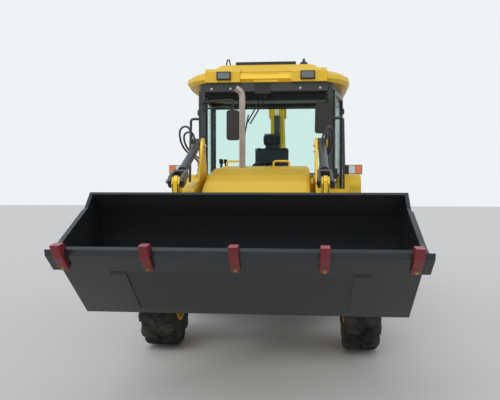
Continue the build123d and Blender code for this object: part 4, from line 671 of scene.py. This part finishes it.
@dataclass(frozen=True)
class Seat:
    """The operator's seat: padded forms blown up by cloth simulation, with seams laid on after."""

    voxel: float = 0.012
    swell: float = 0.018
    pressure: float = 4.0
    frames: int = 20
    corner: float = 0.025

    # Low and high corners of the seat, the back and the head rest
    PADS = (((-228, -1848, 1386), (228, -1392, 1490)), ((-228, -1952, 1400), (228, -1872, 2008)),
            ((-112, -1944, 2030), (112, -1878, 2190)))
    # Low, high, ahead and half width of the piping round the back and the head rest
    PIPING = ((1440.0, 1985.0, -1866.0, 205.0), (2048.0, 2172.0, -1872.0, 92.0))
    CROSS_SEAMS = (1600.0, 1740.0, 1870.0)
    SEAM_X = 205
    SEAM_A = -1864
    PIPING_R = 0.0045
    SEAM_R = 0.0035

    def pads(self) -> bpy.types.Object:
        """The slightly small starting shapes of seat, back and head rest."""
        mesh = bmesh.new()
        for low, high in self.PADS:
            bmesh.ops.create_cube(mesh, size=1.0, matrix=box_matrix(place(*low), place(*high)))
        bmesh.ops.bevel(mesh, geom=mesh.edges[:], offset=self.corner, segments=3, affect="EDGES")
        data = bpy.data.meshes.new("seat_pads")
        mesh.to_mesh(data)
        mesh.free()
        pads = bpy.data.objects.new("seat_pads", data)
        bpy.context.scene.collection.objects.link(pads)
        return pads

    def build(self) -> bpy.types.Object:
        """Makes the pads in place of their CAD node, and the piping round them."""
        pads = self.pads()
        bpy.context.view_layer.objects.active = pads
        pads.select_set(True)
        mesh = pads.modifiers.new("even", "REMESH")
        mesh.mode, mesh.voxel_size = "VOXEL", self.voxel
        bpy.ops.object.modifier_apply(modifier="even")
        before = [v.co.copy() for v in pads.data.vertices]
        cloth = pads.modifiers.new("stuffing", "CLOTH")
        cloth.settings.use_pressure = True
        cloth.settings.uniform_pressure_force = self.pressure
        cloth.settings.effector_weights.gravity = 0.0
        cloth.point_cache.frame_start, cloth.point_cache.frame_end = 1, self.frames
        for step in range(1, self.frames + 1):
            bpy.context.scene.frame_set(step)
        bpy.ops.object.modifier_apply(modifier="stuffing")
        bpy.context.scene.frame_set(1)
        for vertex, home in zip(pads.data.vertices, before):
            move = vertex.co - home
            if move.length > self.swell:
                vertex.co = home + move.normalized() * self.swell
        smooth = pads.modifiers.new("soft", "SUBSURF")
        smooth.levels = smooth.render_levels = 1
        bpy.ops.object.modifier_apply(modifier="soft")
        for face in pads.data.polygons:
            face.use_smooth = True
        pads.data.materials.append(FABRIC.build())
        pads.select_set(False)
        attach(pads, "chassis")
        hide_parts("seat_cushion")
        seams = Form("seat_piping", SEAL, "chassis")
        for low, high, ahead, wide in self.PIPING:
            loop = [place(-wide, ahead, low), place(-wide, ahead, high), place(wide, ahead, high),
                    place(wide, ahead, low)]
            seams.path(loop + loop[:1], self.PIPING_R, 8)
        for height in self.CROSS_SEAMS:
            seam = [place(-self.SEAM_X, self.SEAM_A, height), place(self.SEAM_X, self.SEAM_A, height)]
            seams.path(seam, self.SEAM_R, 8)
        seams.done()
        LOG.info("seat: %d faces", len(pads.data.polygons))
        return pads


@dataclass(frozen=True)
class Cab:
    """Seals, wiper, handles, lining, visor bolts, roof trim and what is inside. Sizes are in millimetres."""

    # Half width, low and high of each opening
    windscreen: tuple[float, float, float] = (653.0, 1252.0, 2505.0)
    rear_window: tuple[float, float, float] = (798.0, 1662.0, 2558.0)
    seal_band: float = 22.0
    wiper_x: float = -15.0
    handle_x: float = 742.0
    trim_a: float = -850.0
    lamp_x: tuple[float, float] = (378.0, 502.0)
    lamp_h: tuple[float, float] = (2652.0, 2716.0)
    mat_ribs: int = 16
    rib_pitch: float = 76.0
    visor_bolts: tuple[float, ...] = (-577.0, -375.0, 364.0, 571.0)

    # Two corners of each block, as X, ahead and height
    HEADER_BAND = ((-630, -725, 2440), (630, -721, 2556))
    ROOF_STRIP = ((-334, -775, 2829.5), (315, -1500, 2866))
    VISOR_BLOCK = ((-118, -621, 2500), (52, -625, 2604))
    HEADLINER = (((-650, -745, 2598), (650, -2225, 2616)), ((-560, -1180, 2560), (560, -1215, 2600)))
    MAT = ((-610, -760, 1112.5), (610, -1470, 1122))
    # The first rib on the mat
    RIB_X = -580.0
    RIB_W = 20
    RIB_A = (-790, -1440)
    RIB_H = (1122, 1126)
    # X, low and high, and the radius below and above in metres
    DOME = ((400, 2828, 2872, 0.062, 0.03), (400, 2870, 2905, 0.013, 0.013))
    # X and height along the loop
    LOOP = ((-450, 2826), (-435, 2905), (-415, 2905), (-395, 2826))
    LOOP_R = 0.007
    WIPER_H = 2490
    WIPER_R = 0.0075
    ARM_SHIFTS = (-26.0, 26.0)
    ARM_TAPER = 0.7
    # How far out, then ahead and height
    HANDLE_PLATE = ((0.0, -830, 1560), (22.0, -800, 1720))
    HANDLE_KNOB = ((8.0, -815, 1640), (34.0, -815, 1640))
    KNOB_R = 0.014
    # Ahead and height round each outline, and its width in metres
    COWL = ((-960, 1560), (-850, 1560), (-850, 1690), (-930, 1740), (-1000, 1700))
    COWL_X = -120
    COWL_W = 0.24
    PEDAL = ((-800, 1122), (-900, 1122), (-880, 1200), (-850, 1210))
    PEDAL_X = (-95.0, 60.0)
    PEDAL_W = 0.05

    def seal(self, form: Form, x: tuple[float, float], a: tuple[float, float], h: tuple[float, float],
             band: float) -> None:
        """Adds a rubber band round an upright opening in the X and height plane."""
        form.block(place(x[0], a[0], h[0]), place(x[1], a[1], h[0] + band))
        form.block(place(x[0], a[0], h[1] - band), place(x[1], a[1], h[1]))
        form.block(place(x[0], a[0], h[0]), place(x[0] + band, a[1], h[1]))
        form.block(place(x[1] - band, a[0], h[0]), place(x[1], a[1], h[1]))

    def glazing(self) -> None:
        """Windscreen and rear window seals, the wiper and the dark header band."""
        seals = Form("window_seals", SEAL, "chassis", 0.003)
        openings = ((self.windscreen, (-711.5, -703.0)), (self.rear_window, (-2319.0, -2310.5)))
        for (half, low, high), depth in openings:
            self.seal(seals, (-half, half), depth, (low, high), self.seal_band)
        seals.slab(*self.HEADER_BAND)
        seals.done()
        wiper = Form("wiper", PLASTIC, "chassis", 0.001)
        wiper.rod(place(self.wiper_x, -711, self.WIPER_H), place(self.wiper_x, -680, self.WIPER_H), 0.022)
        for shift in self.ARM_SHIFTS:
            arm = [place(self.wiper_x + shift, -686, self.WIPER_H),
                   place(-190 + shift * self.ARM_TAPER, -690, 2190)]
            wiper.path(arm, self.WIPER_R)
        wiper.path([place(-190, -694, 2290), place(-250, -696, 1960)], self.WIPER_R)
        wiper.done()

    def doors(self) -> None:
        """A handle on each door."""
        for side, name in ((1, "left"), (-1, "right")):
            handle = Form("handle_" + name, PLASTIC, "door_" + name, 0.002)
            x = side * self.handle_x
            plate, knob = ([place(x + side * out, ahead, height) for out, ahead, height in ends]
                           for ends in (self.HANDLE_PLATE, self.HANDLE_KNOB))
            handle.block(*plate)
            handle.rod(*knob, self.KNOB_R)
            handle.done()

    def roof(self) -> None:
        """The dark strip, dome and loop on top, the visor's middle block, and the work lamps' lenses."""
        top = Form("roof_strip", PLASTIC, "chassis", 0.003)
        top.slab(*self.ROOF_STRIP)
        for x, low, high, below, above in self.DOME:
            top.rod(place(x, self.trim_a, low), place(x, self.trim_a, high), below, above)
        top.path([place(x, self.trim_a, height) for x, height in self.LOOP], self.LOOP_R)
        top.slab(*self.VISOR_BLOCK)
        top.done()
        lenses = Form("work_lenses", GREY_LENS, "chassis", 0.003)
        for side in (1, -1):
            for back, face in ((-552, -548), (-2464, -2460)):
                lenses.block(place(side * self.lamp_x[0], back, self.lamp_h[0]),
                             place(side * self.lamp_x[1], face, self.lamp_h[1]))
        lenses.done()

    def inside(self) -> None:
        """Lining under the roof, floor mat, dash and pedals."""
        lining = Form("roof_lining", LINING, "chassis", 0.006)
        for corners in self.HEADLINER:
            lining.slab(*corners)
        lining.done()
        mat = Form("floor_mat", SEAL, "chassis", 0.003)
        mat.slab(*self.MAT)
        for number in range(self.mat_ribs):
            x = self.RIB_X + number * self.rib_pitch
            mat.slab((x, self.RIB_A[0], self.RIB_H[0]), (x + self.RIB_W, self.RIB_A[1], self.RIB_H[1]))
        mat.done()
        dash = Form("dash", PLASTIC, "chassis", 0.008)
        cowl = [place(self.COWL_X, ahead, height) for ahead, height in self.COWL]
        dash.prism(cowl, (self.COWL_W, 0.0, 0.0))
        for x in self.PEDAL_X:
            dash.prism([place(x, ahead, height) for ahead, height in self.PEDAL], (self.PEDAL_W, 0.0, 0.0))
        dash.done()

    def build(self) -> None:
        """Makes every piece of the cab."""
        self.glazing()
        self.doors()
        self.roof()
        self.inside()
        visor = tuple((place(x, -625, 2558), (0.0, -1.0, 0.0)) for x in self.visor_bolts)
        Bolts("visor_bolts", "chassis", visor, size=0.02, finish=CLEAR).build()


@dataclass(frozen=True)
class Signals:
    """Lenses on the bracket lamps, head lamps and tail lamps. Sizes are in millimetres."""

    COLOURS = (("amber_lenses", AMBER), ("clear_lenses", CLEAR), ("red_lenses", RED_LENS))
    # Piece, inner and outer X, ahead of back and face, low and high
    LENSES = (("amber_lenses", 922.0, 984.0, -413, -406, 1656, 1739),
              ("clear_lenses", 856.0, 920.0, -413, -406, 1656, 1739),
              ("clear_lenses", 208.0, 392.0, 806, 810, 1266, 1354),
              ("red_lenses", 928.0, 1000.0, -2965, -2971, 1446, 1554),
              ("amber_lenses", 1002.0, 1072.0, -2965, -2971, 1446, 1554))

    def build(self) -> None:
        """Makes the lenses, amber outside and clear inside at the front."""
        forms = {name: Form(name, finish, "chassis", 0.003) for name, finish in self.COLOURS}
        for side in (1, -1):
            for name, inner, outer, back, face, low, high in self.LENSES:
                forms[name].block(place(side * inner, back, low), place(side * outer, face, high))
        for form in forms.values():
            form.done()


@dataclass(frozen=True)
class Linkage:
    """Caps on the arms' pins, the hard lines on the arms, and the bolts of masts, forks and towers."""

    # Ahead, height and outer face of each pin in millimetres, and its cap's radius in metres
    CAPS = ((-420, 1530, 650.0, 0.04), (1040, 1080, 626.0, 0.028), (1210, 830, 655.0, 0.034))
    CAP_T = 7.0
    LINE_X = 518.0
    MAST_X = 499.5
    FORK_X = 623.5
    TOWER_X = 645.5
    LINE = ((40, 1607), (420, 1574), (760, 1535))
    MAST_BOLTS = ((285, 1900), (380, 1900), (330, 1850))
    TOWER_BOLTS = ((-700, 690), (-620, 690), (-700, 740), (-620, 740))

    def build(self) -> None:
        """Makes what sits on the arms, the forks and the towers."""
        caps = Form("pin_caps", ZINC, "loader_arms", 0.002)
        for ahead, height, face, radius in self.CAPS:
            for side in (1, -1):
                start, end = side * face, side * (face + self.CAP_T)
                caps.rod(place(start, ahead, height), place(end, ahead, height), radius)
        for side in (1, -1):
            caps.path([place(side * self.LINE_X, ahead, height) for ahead, height in self.LINE], 0.006)
        caps.done()
        places = []
        for side in (1, -1):
            for ahead, height in self.MAST_BOLTS:
                places.append((place(side * self.MAST_X, ahead, height), (-float(side), 0.0, 0.0)))
        Bolts("mast_bolts", "loader_arms", tuple(places), size=0.024).build()
        fork = tuple((place(side * self.FORK_X, 1250, 1580), (float(side), 0.0, 0.0)) for side in (1, -1))
        Bolts("fork_bolts", "tilt_rods", fork, size=0.034).build()
        tower = tuple((place(side * self.TOWER_X, a, h), (float(side), 0.0, 0.0)) for side in (1, -1)
                      for a, h in self.TOWER_BOLTS)
        Bolts("tower_bolts", "chassis", tower, size=0.03).build()


@dataclass(frozen=True)
class Bucket:
    """Weld seams inside the bucket and the bolts on its teeth. Sizes are in millimetres."""

    lip: tuple[float, float] = (2290.0, 1178.0)
    heel: tuple[float, float] = (1690.0, 676.0)
    teeth: int = 5
    tooth_pitch: float = 522.0
    bolt_back: float = 112.0
    bolt_over: float = 46.0
    bolt_under: float = -55.0

    # X, start and end back from the lip, radius in metres
    SEAMS = ((-1074.0, 195.0, 700.0, 0.006), (1074.0, 195.0, 700.0, 0.006), (-560.0, 200.0, 690.0, 0.004),
             (-430.0, 200.0, 690.0, 0.004), (560.0, 200.0, 690.0, 0.004))
    SEAM_OUT = 23.0

    def slope(self) -> tuple[float, float]:
        """How far the floor runs ahead and up for each unit along it."""
        dx, dz = self.lip[0] - self.heel[0], self.lip[1] - self.heel[1]
        size = math.hypot(dx, dz)
        return dx / size, dz / size

    def along(self, x: float, back: float, out: float) -> Point:
        """A point so far back from the lip along the floor, and so far out from it."""
        ahead, up = self.slope()
        return place(x, self.lip[0] - back * ahead - out * up, self.lip[1] - back * up + out * ahead)

    def build(self) -> None:
        """Makes the seams, and a brass bolt on each tooth's upper and lower face."""
        seams = Form("bucket_welds", SEAL, "loader_bucket")
        for x, start, end, radius in self.SEAMS:
            seams.path([self.along(x, start, self.SEAM_OUT), self.along(x, end, self.SEAM_OUT)], radius, 8)
        seams.done()
        ahead, rise = self.slope()
        up = (0.0, rise, ahead)
        places = []
        for number in range(self.teeth):
            x = (number - self.teeth // 2) * self.tooth_pitch
            places.append((self.along(x, self.bolt_back, self.bolt_over), up))
            places.append((self.along(x, self.bolt_back, self.bolt_under), (-up[0], -up[1], -up[2])))
        Bolts("tooth_bolts", "loader_bucket", tuple(places), size=0.026, finish=BRASS).build()


@dataclass(frozen=True)
class Studio:
    """The floor, the light and the camera at the photograph's viewing angle."""

    eye: Point = (0.395, -7.01, 1.59)
    yaw: float = 5.05
    pitch: float = 1.9
    lens: float = 43.2
    floor: float = 60.0
    air: float = 0.74
    lamp: float = 1.0
    sensor: float = 36.0
    sun_turn: Point = (38.0, -18.0, 0.0)
    sun_spread: float = 40.0

    AIR_COLOUR = (0.96, 0.98, 1.0, 1.0)
    BACKDROP = (0.86, 0.89, 0.92, 1.0)
    FLOOR_COLOUR = (0.6, 0.6, 0.6, 1.0)
    FLOOR_ROUGH = 0.9

    def world(self) -> None:
        """Lights the air evenly, with a pale backdrop for the camera, gloss and glass."""
        scene = bpy.context.scene
        scene.world = bpy.data.worlds.new("studio_air")
        scene.world.use_nodes = True
        nodes, links = scene.world.node_tree.nodes, scene.world.node_tree.links
        nodes.clear()
        out = nodes.new("ShaderNodeOutputWorld")
        light, seen, mixed = (nodes.new("ShaderNodeBackground"), nodes.new("ShaderNodeBackground"),
                              nodes.new("ShaderNodeMixShader"))
        light.inputs["Color"].default_value = self.AIR_COLOUR
        light.inputs["Strength"].default_value = self.air
        seen.inputs["Color"].default_value = self.BACKDROP
        seen.inputs["Strength"].default_value = 1.0
        path = nodes.new("ShaderNodeLightPath")
        share = path.outputs["Is Camera Ray"]
        for kind in ("Is Glossy Ray", "Is Transmission Ray"):
            most = nodes.new("ShaderNodeMath")
            most.operation = "MAXIMUM"
            links.new(share, most.inputs[0])
            links.new(path.outputs[kind], most.inputs[1])
            share = most.outputs[0]
        links.new(share, mixed.inputs["Fac"])
        links.new(light.outputs[0], mixed.inputs[1])
        links.new(seen.outputs[0], mixed.inputs[2])
        links.new(mixed.outputs[0], out.inputs["Surface"])

    def ground(self) -> None:
        """Lays the plain pale floor."""
        half = self.floor / 2.0
        mesh = bpy.data.meshes.new("floor")
        mesh.from_pydata([(-half, -half, 0.0), (half, -half, 0.0), (half, half, 0.0), (-half, half, 0.0)], [],
                         [(0, 1, 2, 3)])
        floor = bpy.data.objects.new("floor", mesh)
        bpy.context.scene.collection.objects.link(floor)
        material = bpy.data.materials.new("floor")
        material.use_nodes = True
        shader = material.node_tree.nodes["Principled BSDF"]
        shader.inputs["Base Color"].default_value = self.FLOOR_COLOUR
        shader.inputs["Roughness"].default_value = self.FLOOR_ROUGH
        floor.data.materials.append(material)

    def sun(self) -> None:
        """Adds one broad soft lamp from above the camera's left."""
        lamp = bpy.data.lights.new("soft_sun", "SUN")
        lamp.energy = self.lamp
        lamp.angle = math.radians(self.sun_spread)
        sun = bpy.data.objects.new("soft_sun", lamp)
        sun.rotation_euler = [math.radians(turn) for turn in self.sun_turn]
        bpy.context.scene.collection.objects.link(sun)

    def camera(self) -> None:
        """Sets the camera where the photograph was taken."""
        data = bpy.data.cameras.new("camera")
        data.lens, data.sensor_width = self.lens, self.sensor
        camera = bpy.data.objects.new("camera", data)
        bpy.context.scene.collection.objects.link(camera)
        camera.location = self.eye
        yaw, pitch = math.radians(self.yaw), math.radians(self.pitch)
        aim = Vector((-math.sin(yaw) * math.cos(pitch), math.cos(yaw) * math.cos(pitch), -math.sin(pitch)))
        camera.rotation_mode = "QUATERNION"
        camera.rotation_quaternion = aim.to_track_quat("-Z", "Y")
        bpy.context.scene.camera = camera

    def build(self) -> None:
        """Makes the whole studio."""
        bpy.context.scene.view_settings.view_transform = "Standard"
        self.world()
        self.ground()
        self.sun()
        self.camera()


def main() -> None:
    """Dresses the machine, piece by piece, and sets up the studio."""
    dress_nodes()
    for wheel in WHEELS:
        wheel.build()
    for hose in HOSES:
        hose.build()
    for assembly in (Seat(), Cab(), Signals(), Linkage(), Bucket()):
        assembly.build()
    Studio().build()


if __name__ == "__main__":
    main()
